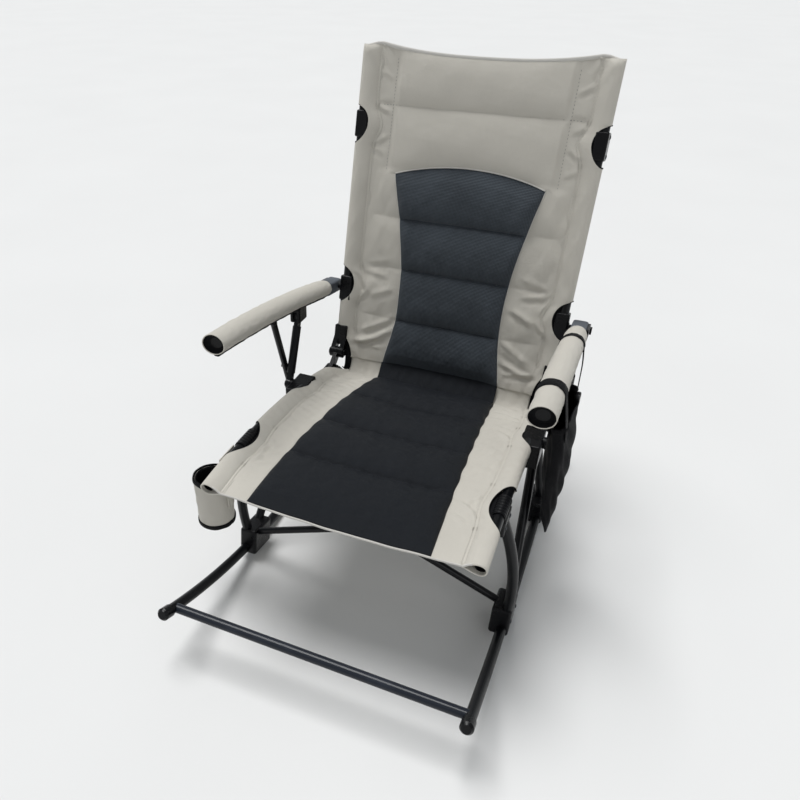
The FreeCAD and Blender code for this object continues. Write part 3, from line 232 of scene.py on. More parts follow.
@dataclass
class Shell:
    """A growing set of grids that becomes one mesh object."""

    name: str
    points: list[Array] = field(default_factory=list)
    faces: list[Array] = field(default_factory=list)
    uvs: list[Array] = field(default_factory=list)
    total: int = 0

    def grid(self, points: Array, uv: Array, loop: bool = False, flip: bool = False) -> None:
        """Add a grid of points.

        Args:
            points: Rows by columns by 3.
            uv: Rows by columns by 2, in metres of cloth.
            loop: Whether the last column meets the first.
            flip: Whether the faces point the other way.
        """
        rows, cols = points.shape[:2]
        index = np.arange(rows * cols).reshape(rows, cols) + self.total
        nxt = np.roll(index, -1, axis=1) if loop else index[:, 1:]
        cur = index if loop else index[:, :-1]
        quads = np.stack([cur[:-1], nxt[:-1], nxt[1:], cur[1:]], axis=-1).reshape(-1, 4)
        self.faces.append(quads[:, ::-1] if flip else quads)
        self.points.append(points.reshape(-1, 3))
        self.uvs.append(uv.reshape(-1, 2))
        self.total += rows * cols

    def build(self, weld: float = 0.0, outward: Vector | None = None) -> Thing:
        """Make the object.

        Args:
            weld: Distance within which points merge, or 0.
            outward: A direction that most faces point along, to turn an open sheet the right way.

        Returns:
            The object, at the origin with its place in its mesh.
        """
        mesh = bpy.data.meshes.new(self.name)
        mesh.from_pydata(np.concatenate(self.points).tolist(), [], np.concatenate(self.faces).tolist())
        layer = mesh.uv_layers.new(name="cloth")
        loops = np.zeros(len(mesh.loops), np.int32)
        mesh.loops.foreach_get("vertex_index", loops)
        layer.data.foreach_set("uv", np.concatenate(self.uvs)[loops].astype(np.float32).ravel())
        turned(mesh, weld)
        if outward is not None:
            normal = np.zeros(3 * len(mesh.polygons), np.float32)
            area = np.zeros(len(mesh.polygons), np.float32)
            mesh.polygons.foreach_get("normal", normal)
            mesh.polygons.foreach_get("area", area)
            if area @ (normal.reshape(-1, 3) @ np.array(outward, np.float32)) < 0.0:
                mesh.flip_normals()
        mesh.polygons.foreach_set("use_smooth", np.ones(len(mesh.polygons), bool))
        mesh.update()
        return placed(self.name, mesh)


def thicken(thing: Thing, thickness: float, offset: float = -1.0) -> Thing:
    """Give an open sheet its cloth thickness.

    Args:
        thing: The sheet.
        thickness: How thick it gets.
        offset: Side it grows to: -1 is below, 0 both.

    Returns:
        The same sheet.
    """
    skin = thing.modifiers.new("cloth", "SOLIDIFY")
    skin.thickness = thickness
    skin.offset = offset
    skin.use_even_offset = True
    skin.use_quality_normals = True
    return thing


def loft(name: str, path: Array, profile: Array, sideways: Array, closed: bool = True,
         scale: Array | None = None) -> Thing:
    """Carry a profile along a path.

    Args:
        name: Name of the piece.
        path: Points of the path, n by 3.
        profile: Outline in (sideways, upward) metres, m by 2, in order round the section.
        sideways: Rough sideways direction, 3, or one for each path point.
        closed: Whether the ends are closed with a fan onto their middles.
        scale: Share of the profile's size at each path point.

    Returns:
        The piece: each section stands square to the path, its first axis towards sideways.
    """
    tangent = unit(np.gradient(path, axis=0))
    side = np.broadcast_to(np.asarray(sideways, float), path.shape)
    side = unit(side - (side * tangent).sum(1, keepdims=True) * tangent)
    up = np.cross(tangent, side)
    size = np.ones(len(path)) if scale is None else scale
    ring = (path[:, None, :] + size[:, None, None] * (profile[None, :, :1] * side[:, None, :]
                                                     + profile[None, :, 1:] * up[:, None, :]))
    if closed:
        first = np.repeat(path[:1, None, :], len(profile), axis=1)
        last = np.repeat(path[-1:, None, :], len(profile), axis=1)
        ring = np.concatenate([first, ring, last])
    run = np.linspace(0.0, 1.0, len(ring)) * np.linalg.norm(np.diff(path, axis=0), axis=1).sum()
    girth = np.linspace(0.0, 1.0, len(profile)) * 2.0 * np.abs(profile).max() * math.pi
    shell = Shell(name)
    shell.grid(ring, chart(girth, run), loop=True)
    return shell.build(weld=1e-6)


def oval(width: float, height: float, count: int = 12, square: float = 2.0) -> Array:
    """A superellipse outline.

    Args:
        width: Half width.
        height: Half height.
        count: Points round it.
        square: 2 is an ellipse, larger is boxier.

    Returns:
        The outline, count by 2.
    """
    angle = turns(count)
    c, s = np.cos(angle), np.sin(angle)
    power = 2.0 / square
    across, upward = np.sign(c) * np.abs(c) ** power, np.sign(s) * np.abs(s) ** power
    return np.stack([width * across, height * upward], axis=1)


def resample(path: Array, step: float) -> Array:
    """Points at even steps along a path.

    Args:
        path: Points, n by 3.
        step: Distance between points.

    Returns:
        The points, from half a step past the start.
    """
    run = np.concatenate([[0.0], np.cumsum(np.linalg.norm(np.diff(path, axis=0), axis=1))])
    want = np.arange(0.5 * step, run[-1], step)
    return np.stack([np.interp(want, run, path[:, axis]) for axis in range(3)], axis=1)


@dataclass(frozen=True)
class Arc:
    """An upward arc in a side plane."""

    bend: float
    middle_y: float
    middle_z: float
    start: float
    end: float

    @classmethod
    def through(cls, front: tuple[float, float], rear: tuple[float, float], rise: float) -> Arc:
        """The arc between two ends with a rise over its chord.

        Args:
            front: The front end's y and z.
            rear: The rear end's y and z.
            rise: Height over the chord.

        Returns:
            The arc: its centre lies below the chord's middle, square to the chord.
        """
        dy, dz = rear[0] - front[0], rear[1] - front[1]
        chord, tilt = math.hypot(dy, dz), math.atan2(dz, dy)
        bend = (chord**2 / 4 + rise**2) / (2 * rise)
        half = math.asin(chord / (2 * bend))
        middle_y = (front[0] + rear[0]) / 2 + (bend - rise) * math.sin(tilt)
        middle_z = (front[1] + rear[1]) / 2 - (bend - rise) * math.cos(tilt)
        return cls(bend, middle_y, middle_z, math.pi / 2 + tilt + half, math.pi / 2 + tilt - half)

    @property
    def length(self) -> float:
        """Length of the arc from front to rear."""
        return (self.start - self.end) * self.bend

    def at(self, run: Array, lift: Array) -> tuple[Array, Array]:
        """Level place and height of points at a run from the front end and a lift off the arc."""
        angle, reach = self.start - np.asarray(run, float) / self.bend, self.bend + lift
        return self.middle_y + reach * np.cos(angle), self.middle_z + reach * np.sin(angle)

    def run_at(self, y: float) -> float:
        """Run from the front end at a level place."""
        return (self.start - math.acos((y - self.middle_y) / self.bend)) * self.bend


# Lines of the frame in side view, as (y, z), with the half widths of its tubes
TUBE_X = 0.268
SEAT_FRONT, SEAT_REAR, SEAT_RISE = (-0.425, 0.366), (0.172, 0.306), 0.030
SEAT_ARC = Arc.through(SEAT_FRONT, SEAT_REAR, SEAT_RISE)
FRONT_BRACKET_Y = -0.272
BACK_LEAN = math.radians(12.9)
BACK_FOOT = (0.230, 0.352)
UPPER_BRACKET = 0.535
ARM_X = 0.308
ARM_UP, ARM_SETBACK = 0.150, 0.026
ARM_FRONT, ARM_RISE = (-0.282, 0.601), 0.009
ARM_PIVOT = (BACK_FOOT[0] + ARM_UP * math.sin(BACK_LEAN), BACK_FOOT[1] + ARM_UP * math.cos(BACK_LEAN))
ARM_SPAN = math.hypot(ARM_PIVOT[0] - ARM_FRONT[0], ARM_PIVOT[1] - ARM_FRONT[1])
ARM_REAR = tuple(p + (f - p) * ARM_SETBACK / ARM_SPAN for p, f in zip(ARM_PIVOT, ARM_FRONT))
ARM_ARC = Arc.through(ARM_FRONT, ARM_REAR, ARM_RISE)


# Finishes


@dataclass
class Bench:
    """A material's node tree with short calls to add and join nodes."""

    name: str

    def __post_init__(self) -> None:
        """Start the material with its shader."""
        self.material = bpy.data.materials.new(self.name)
        self.material.use_nodes = True
        self.tree = self.material.node_tree
        self.shader = self.tree.nodes["Principled BSDF"]

    def node(self, kind: str, **settings: object) -> bpy.types.Node:
        """Add a node and set its properties.

        Args:
            kind: Node type, without its prefix.
            settings: Properties to set.

        Returns:
            The node.
        """
        made = self.tree.nodes.new("ShaderNode" + kind)
        for key, value in settings.items():
            setattr(made, key, value)
        return made

    def feed(self, socket: Socket, value: object) -> None:
        """Link a socket into an input, or set it.

        Args:
            socket: The input.
            value: A socket or a constant.
        """
        if isinstance(value, Socket):
            self.tree.links.new(value, socket)
        else:
            socket.default_value = value

    def paint(self, name: str, value: object) -> None:
        """Link a socket into an input of the shader, or set it."""
        self.feed(self.shader.inputs[name], value)

    def math(self, operation: str, a: object, b: object = 0.0) -> Socket:
        """A math node of two values.

        Args:
            operation: Its name.
            a: First value.
            b: Second value.

        Returns:
            The result.
        """
        made = self.node("Math", operation=operation)
        self.feed(made.inputs[0], a)
        self.feed(made.inputs[1], b)
        return made.outputs[0]

    def mix(self, share: object, a: object, b: object) -> Socket:
        """A mix of two colours.

        Args:
            share: Share of the second.
            a: First colour.
            b: Second colour.

        Returns:
            The mix.
        """
        made = self.node("Mix", data_type="RGBA")
        self.feed(made.inputs["Factor"], share)
        self.feed(made.inputs[6], a)
        self.feed(made.inputs[7], b)
        return made.outputs[2]

    def remap(self, value: object, low: float, high: float, to_low: float,
              to_high: float) -> Socket:
        """A clamped map of a value from one range to another.

        Args:
            value: The value.
            low: Its lower end.
            high: Its upper end.
            to_low: Result at low.
            to_high: Result at high.

        Returns:
            The result.
        """
        made = self.node("MapRange")
        for place, item in enumerate((value, low, high, to_low, to_high)):
            self.feed(made.inputs[place], item)
        return made.outputs[0]

    def noise(self, coords: Socket, scale: float, detail: float = 3.0) -> Socket:
        """Noise on coordinates in metres.

        Args:
            coords: The coordinates.
            scale: Waves in a metre.
            detail: Octaves.

        Returns:
            The noise, from 0 to 1.
        """
        made = self.node("TexNoise")
        self.feed(made.inputs["Vector"], coords)
        made.inputs["Scale"].default_value = scale
        made.inputs["Detail"].default_value = detail
        return made.outputs["Fac"]

    def place(self, uv: bool = False) -> Socket:
        """Object coordinates, or the cloth's own UV map."""
        made = self.node("TexCoord")
        return made.outputs["UV" if uv else "Object"]

    def bump(self, height: object, distance: float, normal: object = None) -> Socket:
        """A bump of a height on top of another normal.

        Args:
            height: The height.
            distance: Its depth in metres.
            normal: The normal below it, if any.

        Returns:
            The bent normal.
        """
        made = self.node("Bump")
        made.inputs["Distance"].default_value = distance
        self.feed(made.inputs["Height"], height)
        if normal is not None:
            self.feed(made.inputs["Normal"], normal)
        return made.outputs[0]


def grey(colour: tuple[float, float, float], factor: float) -> tuple[float, float, float, float]:
    """A colour scaled and given its alpha."""
    return (colour[0] * factor, colour[1] * factor, colour[2] * factor, 1.0)


@dataclass(frozen=True)
class ClothFinish:
    """Woven cloth: threads, faint mottling, crumples and sheen."""

    name: str
    colour: tuple[float, float, float]
    weave: Weave = Weave.PLAIN
    thread: float = 0.0011
    contrast: float = 0.12
    crumple: float = 0.0006
    roughness: float = 0.82
    sheen: float = 0.25
    gloss: float = 0.3

    def threads(self, bench: Bench) -> Socket:
        """Height of the threads: crossed sine waves on the cloth's own map.

        Args:
            bench: The material's bench.

        Returns:
            The height, from -1 to 1.
        """
        split = bench.node("SeparateXYZ")
        bench.feed(split.inputs[0], bench.place(uv=True))
        pull = 2.0 * math.pi / self.thread
        u, v = split.outputs[0], split.outputs[1]
        if self.weave is Weave.BASKET:
            u, v = bench.math("ADD", u, v), bench.math("SUBTRACT", u, v)
        across, along = (bench.math("SINE", bench.math("MULTIPLY", way, pull)) for way in (u, v))
        if self.weave is Weave.RIBBED:
            return along
        return bench.math("MULTIPLY", across, along)

    def build(self) -> bpy.types.Material:
        """Make the material.

        Returns:
            Threads and mottling in the colour, creases and threads in the normal.
        """
        bench = Bench(self.name)
        coords = bench.place()
        threads = self.threads(bench)
        broad = bench.noise(coords, 9.0, 4.0)
        fine = bench.noise(coords, 260.0, 2.0)
        tint = bench.mix(bench.remap(broad, 0.3, 0.7, 0.0, 1.0), grey(self.colour, 1.0 - 0.4 * self.contrast),
                         grey(self.colour, 1.0 + 0.4 * self.contrast))
        shade = bench.mix(bench.remap(threads, -1.0, 1.0, 0.0, 1.0), grey(self.colour, 1.0 - self.contrast),
                          grey(self.colour, 1.0 + self.contrast))
        bench.paint("Base Color", bench.mix(0.5, tint, shade))
        bench.paint("Roughness", bench.remap(fine, 0.2, 0.8, self.roughness - 0.08, self.roughness + 0.08))
        folds = bench.bump(bench.noise(coords, 34.0, 5.0), self.crumple * 4.0)
        bench.paint("Normal", bench.bump(threads, self.thread * 0.18, folds))
        bench.paint("Sheen Weight", self.sheen)
        bench.paint("Sheen Roughness", 0.45)
        bench.paint("Specular IOR Level", self.gloss)
        return bench.material


@dataclass(frozen=True)
class MouldedFinish:
    """Moulded plastic: a fine spark-eroded grain and rubbed patches."""

    name: str
    colour: tuple[float, float, float]
    roughness: float
    grain: float = 900.0
    grain_depth: float = 0.00025
    gloss: float = 0.20

    def build(self) -> bpy.types.Material:
        """Make the material.

        Returns:
            Paler, rougher patches where it is rubbed, and a grain in the normal.
        """
        bench = Bench(self.name)
        coords = bench.place()
        rub = bench.noise(coords, 22.0, 4.0)
        rubbed = bench.remap(rub, 0.45, 0.75, 0.0, 1.0)
        bench.paint("Base Color", bench.mix(rubbed, grey(self.colour, 1.0), grey(self.colour, 1.7)))
        bench.paint("Roughness", bench.remap(rub, 0.3, 0.7, self.roughness - 0.07, self.roughness + 0.1))
        grain = bench.noise(coords, self.grain, 2.0)
        bench.paint("Normal", bench.bump(grain, self.grain_depth))
        bench.paint("Specular IOR Level", self.gloss)
        return bench.material


@dataclass(frozen=True)
class CoatedTubeFinish:
    """Powder-coated steel tube: orange-peel coat, dust and light scuffs."""

    name: str
    colour: tuple[float, float, float]
    roughness: float = 0.34
    peel: float = 420.0
    peel_depth: float = 0.0003
    gloss: float = 0.10
    coat: float = 0.24
    coat_roughness: float = 0.10

    def build(self) -> bpy.types.Material:
        """Make the material.

        Returns:
            A clear-coated colour with dust and scuffs, and orange peel in the normal.
        """
        bench = Bench(self.name)
        coords = bench.place()
        dust = bench.remap(bench.noise(coords, 16.0, 6.0), 0.52, 0.8, 0.0, 1.0)
        scuff = bench.remap(bench.noise(coords, 130.0, 3.0), 0.66, 0.74, 0.0, 0.6)
        base = bench.mix(dust, grey(self.colour, 1.0), grey(self.colour, 1.5))
        bench.paint("Base Color", bench.mix(scuff, base, grey(self.colour, 2.1)))
        bench.paint("Roughness", bench.remap(dust, 0.0, 1.0, self.roughness, self.roughness + 0.22))
        peel = bench.noise(coords, self.peel, 2.0)
        bench.paint("Normal", bench.bump(peel, self.peel_depth))
        bench.paint("Specular IOR Level", self.gloss)
        bench.paint("Coat Weight", self.coat)
        bench.paint("Coat Roughness", self.coat_roughness)
        return bench.material


Finish = ClothFinish | MouldedFinish | CoatedTubeFinish

BEIGE = ClothFinish("beige_weave", (0.590, 0.562, 0.502), thread=0.0012, contrast=0.08,
                    crumple=0.0007, sheen=0.1)
BLACK_NYLON = ClothFinish("black_nylon", (0.0078, 0.0096, 0.0128), thread=0.0008, contrast=0.12,
                          crumple=0.0007, roughness=0.58, sheen=0.0, gloss=0.20)
SLATE_MESH = ClothFinish("slate_mesh", (0.056, 0.067, 0.080), Weave.BASKET, thread=0.0062, contrast=0.9,
                         crumple=0.0003, roughness=0.74, sheen=0.06, gloss=0.2)
BLACK_TAPE = ClothFinish("black_tape", (0.0050, 0.0051, 0.0062), Weave.RIBBED, thread=0.0016, contrast=0.3,
                         crumple=0.0002, roughness=0.66, sheen=0.0, gloss=0.12)
PALE_HEM = ClothFinish("pale_hem", (0.66, 0.64, 0.60), Weave.RIBBED, thread=0.0016, contrast=0.1,
                       crumple=0.0003)
BEIGE_THREAD = ClothFinish("beige_thread", (0.49, 0.465, 0.415), Weave.RIBBED, thread=0.0006, contrast=0.15,
                           crumple=0.0001)
DARK_THREAD = ClothFinish("dark_thread", (0.10, 0.10, 0.105), Weave.RIBBED, thread=0.0006, contrast=0.15,
                          crumple=0.0001)
# Near-black, almost matte thread for the panels' seams: the real seam thread, widened into painted shade of
# the seam grooves.
THREAD_AND_SEAM_SHADE = ClothFinish("black_thread", (0.0022, 0.0023, 0.0028), Weave.RIBBED, thread=0.0006,
                           contrast=0.15, crumple=0.0001, roughness=0.8, sheen=0.0, gloss=0.04)
TUBE_COAT = CoatedTubeFinish("black_coat", (0.0038, 0.0041, 0.0050), 0.28)
BAR_COAT = CoatedTubeFinish("blue_black_coat", (0.016, 0.019, 0.026), 0.3)
BLACK_PLASTIC = MouldedFinish("black_plastic", (0.0036, 0.0037, 0.0044), 0.26)
GREY_PLASTIC = MouldedFinish("grey_plastic", (0.070, 0.078, 0.090), 0.5)


@dataclass
class Wardrobe:
    """Each finish built once, and how pieces are dressed in it."""

    made: dict[str, bpy.types.Material] = field(default_factory=dict)

    def material(self, finish: Finish) -> bpy.types.Material:
        """The finish's material, built at its first use.

        Args:
            finish: The finish.

        Returns:
            Its material.
        """
        if finish.name not in self.made:
            self.made[finish.name] = finish.build()
        return self.made[finish.name]

    def dress(self, thing: Thing, finish: Finish) -> Thing:
        """Put the finish on a piece.

        Args:
            thing: The piece.
            finish: Its finish.

        Returns:
            The same piece.
        """
        thing.data.materials.clear()
        thing.data.materials.append(self.material(finish))
        return thing

    def settle(self, thing: Thing, finish: Finish, body: str, slot: str) -> Thing:
        """Dress a piece and let it ride on a body.

        Args:
            thing: The piece.
            finish: Its finish.
            body: The body.
            slot: Not used.

        Returns:
            The same piece.
        """
        self.dress(thing, finish)
        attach(thing, body)
        log.info("piece %s on %s", thing.name, body)
        return thing


# The sling


@dataclass(frozen=True)
class Fold:
    """A fold of slack cloth between two places on a sling, each given as (x, run)."""

    start: tuple[float, float]
    end: tuple[float, float]
    height: float = 0.0030
    width: float = 0.0070
    bow: float = 0.0

    def lift(self, x: Array, run: Array) -> Array:
        """A ridge along the line and a furrow beside it, fading at both ends.

        Args:
            x: Places across.
            run: Runs along the cloth.

        Returns:
            The lift: bow bends the line's middle sideways.
        """
        du, dv = self.end[0] - self.start[0], self.end[1] - self.start[1]
        length = math.hypot(du, dv)
        t = ((x - self.start[0]) * du + (run - self.start[1]) * dv) / length**2
        off = ((x - self.start[0]) * dv - (run - self.start[1]) * du) / length
        off = off - 4.0 * self.bow * np.clip(t * (1.0 - t), 0.0, 0.25)
        fade = ease(-0.15, 0.25, t) * (1.0 - ease(0.65, 1.15, t))
        return self.height * fade * (bell(off, self.width) - 0.8 * bell(off - 1.6 * self.width, self.width))


@dataclass(frozen=True)
class Moon:
    """A half-moon opening in a sling's outer edge."""

    run: float
    half: float
    depth: float

    @property
    def radius(self) -> float:
        """Radius of the opening's arc, from its half length and depth."""
        return (self.half**2 + self.depth**2) / (2.0 * self.depth)

    def bite(self, run: Array) -> Array:
        """How far the opening cuts in from the edge at each run."""
        inside = np.maximum(self.radius**2 - (run - self.run) ** 2, 0.0)
        return np.maximum(np.sqrt(inside) - (self.radius - self.depth), 0.0)


@dataclass
class Sling:
    """A cloth stretched between two tubes that it wraps, open at half-moons.

    A subclass gives the surface as a function of x, the run along the tubes and the
    lift off the plane of the tubes.
    """

    name: str = "sling"
    tube_x: float = TUBE_X
    sleeve: float = 0.0135
    seam_x: float = 0.238
    kink: float = 0.5
    hem_x: float = 0.230
    sag: float = 0.010
    cloth: float = 0.0022
    swell: float = 0.0022
    groove: float = 0.0012
    groove_width: float = 0.0050
    lining_flank: float = 0.0075
    lining_top: float = 0.0060
    moons: tuple[Moon, ...] = ()
    folds: tuple[Fold, ...] = ()

    def surface(self, x: Array, run: Array, lift: Array) -> Array:
        """Points of the surface."""
        raise NotImplementedError

    def end_of(self, x: Array) -> Array:
        """Run of the far edge at each x."""
        raise NotImplementedError

    def relief(self, x: Array, run: Array) -> Array:
        """Folds and padding of the cloth, as a lift."""
        raise NotImplementedError

    def drawn(self, x: Array, run: Array) -> Array:
        """Lift of the sling's own folds, with the two sides a little unlike each other.

        Args:
            x: Places across.
            run: Runs along the cloth.

        Returns:
            The lift.
        """
        lift = np.zeros(np.broadcast_shapes(np.shape(x), np.shape(run)))
        for number, fold in enumerate(self.folds):
            for side in Side:
                slip = 0.005 * side.value * math.sin(2.3 * number)
                share = 1.0 + 0.22 * side.value * math.cos(1.7 * number)
                lift += share * fold.lift(side.value * x, run + slip)
        return lift

    def sleeve_at(self, run: Array) -> Array:
        """Radius of the sleeve at each run."""
        return np.full(np.shape(run), self.sleeve)

    def seam_at(self, run: Array) -> Array:
        """Place of the sleeve's seam at each run: it is drawn inward round the openings."""
        near = np.max([moon.depth * bell(run - moon.run, 0.72 * moon.half) for moon in self.moons], axis=0)
        return self.seam_x - self.kink * near

    def edge_x(self, run: Array) -> Array:
        """Half width of the upper layer at each run, from the sleeve's silhouette less the openings."""
        bite = np.max([moon.bite(run) for moon in self.moons], axis=0)
        return self.tube_x + self.sleeve - bite

    def lift_at(self, x: Array, run: Array) -> Array:
        """Sag in the middle, a climb from the seam onto the tube, its round top, and the relief.

        Args:
            x: Places across.
            run: Runs along the cloth.

        Returns:
            The lift off the plane of the tubes.
        """
        a = np.abs(x)
        radius = self.sleeve_at(run)
        seam = self.seam_at(run)
        sheet = -self.sag * (1.0 - np.minimum(a / seam, 1.0) ** 2)
        climb = np.clip((a - seam) / (self.tube_x - 0.002 - seam), 0.0, 1.0)
        rise = radius * np.sin(0.5 * math.pi * climb)
        near = np.max([bell(run - moon.run, moon.radius) for moon in self.moons], axis=0)
        swell = self.swell * near * climb
        over = np.clip((a - self.tube_x) / self.sleeve, 0.0, 1.0)
        round_top = radius * np.sqrt(1.0 - over**2)
        lift = np.where(a > self.tube_x, round_top, sheet + rise)
        fade = 1.0 - ease(self.tube_x - 0.010, self.tube_x + 0.008, a)
        groove = -self.groove * bell(a - seam, self.groove_width)
        return lift + (swell + self.relief(x, run) + groove) * fade

    def rows(self) -> Array:
        """Runs of the grid's rows, as shares of the full length."""
        return spread(0.0, 1.0, 261)

    def row_runs(self, share: Array, x: Array) -> Array:
        """Run of each row at each x."""
        return share * self.end_of(x)

    def columns(self) -> Array:
        """Places of the grid's columns across the sheet, closer together on the borders and the sleeves.

        Returns:
            Shares of the half width.
        """
        edge = 0.92 + 0.08 * np.sin(spread(0.0, math.pi / 2, 11))[1:]
        border = spread(0.46, 0.92, 48)[1:]
        return np.concatenate([-edge[::-1], -border[::-1], spread(-0.46, 0.46, 45), border, edge])

    def upper(self) -> tuple[Array, Array]:
        """Points and cloth map of the upper layer.

        Returns:
            Rows by columns of points, and their map.
        """
        share = self.rows()
        run_edge = self.row_runs(share, np.full(share.shape, self.tube_x))
        x = self.columns()[None, :] * self.edge_x(run_edge)[:, None]
        run = self.row_runs(share[:, None], x)
        return self.surface(x, run, self.lift_at(x, run)), np.stack([x, run], axis=-1)

    def wraps(self) -> list[tuple[int, int]]:
        """Rows of each stretch of the sleeve between openings.

        Returns:
            Pairs of a first row and the row after the last.
        """
        share = self.rows()
        run = self.row_runs(share, np.full(share.shape, self.tube_x))
        whole = np.isclose(self.edge_x(run), self.tube_x + self.sleeve, atol=1e-9)
        marks = np.flatnonzero(np.diff(np.concatenate([[False], whole, [False]]).astype(int)))
        return [(int(first), int(last)) for first, last in marks.reshape(-1, 2) if last - first > 3]

    def wrap_points(self, side: Side, first: int, last: int) -> tuple[Array, Array]:
        """Points of the sleeve's outer and under side over some rows.

        Args:
            side: The sleeve.
            first: First row.
            last: Row after the last.

        Returns:
            A quarter turn down the tube's outside and a sweep back up to the under-seam, with its map.
        """
        share = self.rows()[first:last]
        angle = spread(0.0, -math.pi / 2, 10)
        back = spread(0.0, 1.0, 9)[1:]
        x = np.concatenate([self.tube_x + self.sleeve * np.cos(angle),
                            self.tube_x + (self.hem_x - self.tube_x) * back])
        lift = np.concatenate([np.sin(angle), -1.0 + 0.76 * ease(0.0, 1.0, back)])
        run = self.row_runs(share, np.full(share.shape, self.tube_x))
        grid_x = np.broadcast_to(side.value * x[None, :], (len(share), len(x)))
        grid_run = np.broadcast_to(run[:, None], grid_x.shape)
        steps = np.hypot(np.diff(x), np.diff(lift) * self.sleeve)
        girth = self.tube_x + np.concatenate([[0.0], np.cumsum(steps)])
        points = self.surface(grid_x, grid_run, lift[None, :] * self.sleeve_at(grid_run))
        return points, np.stack([np.broadcast_to(side.value * girth, grid_x.shape), grid_run], axis=-1)

    def build(self, outward: Vector) -> Thing:
        """The cloth as one welded sheet with its thickness.

        Args:
            outward: Where its face looks.

        Returns:
            The cloth.
        """
        shell = Shell(self.name)
        shell.grid(*self.upper())
        for first, last in self.wraps():
            for side in Side:
                shell.grid(*self.wrap_points(side, first, last))
        return thicken(shell.build(weld=2e-5, outward=outward), self.cloth)

    def on_top(self, x: Array, run: Array, above: float | Array = 0.0) -> Array:
        """Points on the upper layer, raised a little."""
        return self.surface(x, run, self.lift_at(x, run) + above)

    def facing(self, x: Array, run: Array) -> Array:
        """Unit normals of the upper layer, from differences.

        Args:
            x: Places across.
            run: Runs along the cloth.

        Returns:
            The normals, on the side of the sitter.
        """
        step = 5e-4
        across = self.on_top(x + step, run) - self.on_top(x - step, run)
        along = self.on_top(x, run + step) - self.on_top(x, run - step)
        normal = unit(np.cross(across, along))
        outward = self.surface(x, run, self.lift_at(x, run) + 0.01) - self.on_top(x, run)
        return normal * np.sign((normal * outward).sum(-1, keepdims=True))

    def seam_line(self, side: Side, inset: float, low: float, high: float) -> tuple[Array, Array]:
        """A line beside the sleeve's seam, as x and run."""
        run = spread(low, high, 260)
        return side.value * (self.seam_at(run) - inset), run

    def bows(self) -> list[Array]:
        """Runs along the edge of each opening.

        Returns:
            The runs, one array for each opening.
        """
        end = float(self.end_of(np.array(self.tube_x)))
        return [spread(max(moon.run - moon.half, 0.0), min(moon.run + moon.half, end), 60)
                for moon in self.moons]

    def bindings(self) -> list[Array]:
        """Paths of the slim tape just under the edge of each opening.

        Returns:
            The paths.
        """
        paths = []
        for bow in self.bows():
            for side in Side:
                edge = side.value * (self.edge_x(bow) + 0.0004)
                paths.append(resample(self.on_top(edge, bow, -0.0020), 0.0025))
        return paths

    def linings(self) -> list[Array]:
        """Dark crescents in the openings: grids from under the cloth's edge to the flank of the tube.

        Returns:
            The grids: a parabola from the edge down to the flank.
        """
        grids = []
        share = spread(0.0, 1.0, 7)[None, :]
        flank = self.tube_x - self.lining_flank
        for bow in self.bows():
            bow = bow[self.edge_x(bow) < flank - 0.001]
            edge = self.edge_x(bow) - 0.006
            for side in Side:
                x = side.value * (edge[:, None] + share * (flank - edge)[:, None])
                high = self.lift_at(side.value * edge, bow)[:, None] - 0.0034
                lift = high + share**2 * (self.lining_top - high)
                grids.append(self.surface(x, np.broadcast_to(bow[:, None], x.shape), lift))
        return grids


SEAT_OVER = 0.008
SEAT_LENGTH = SEAT_ARC.length + 0.034


def seat_run(y: float) -> float:
    """Run of the seat's cloth at a level place."""
    return SEAT_ARC.run_at(y) + SEAT_OVER


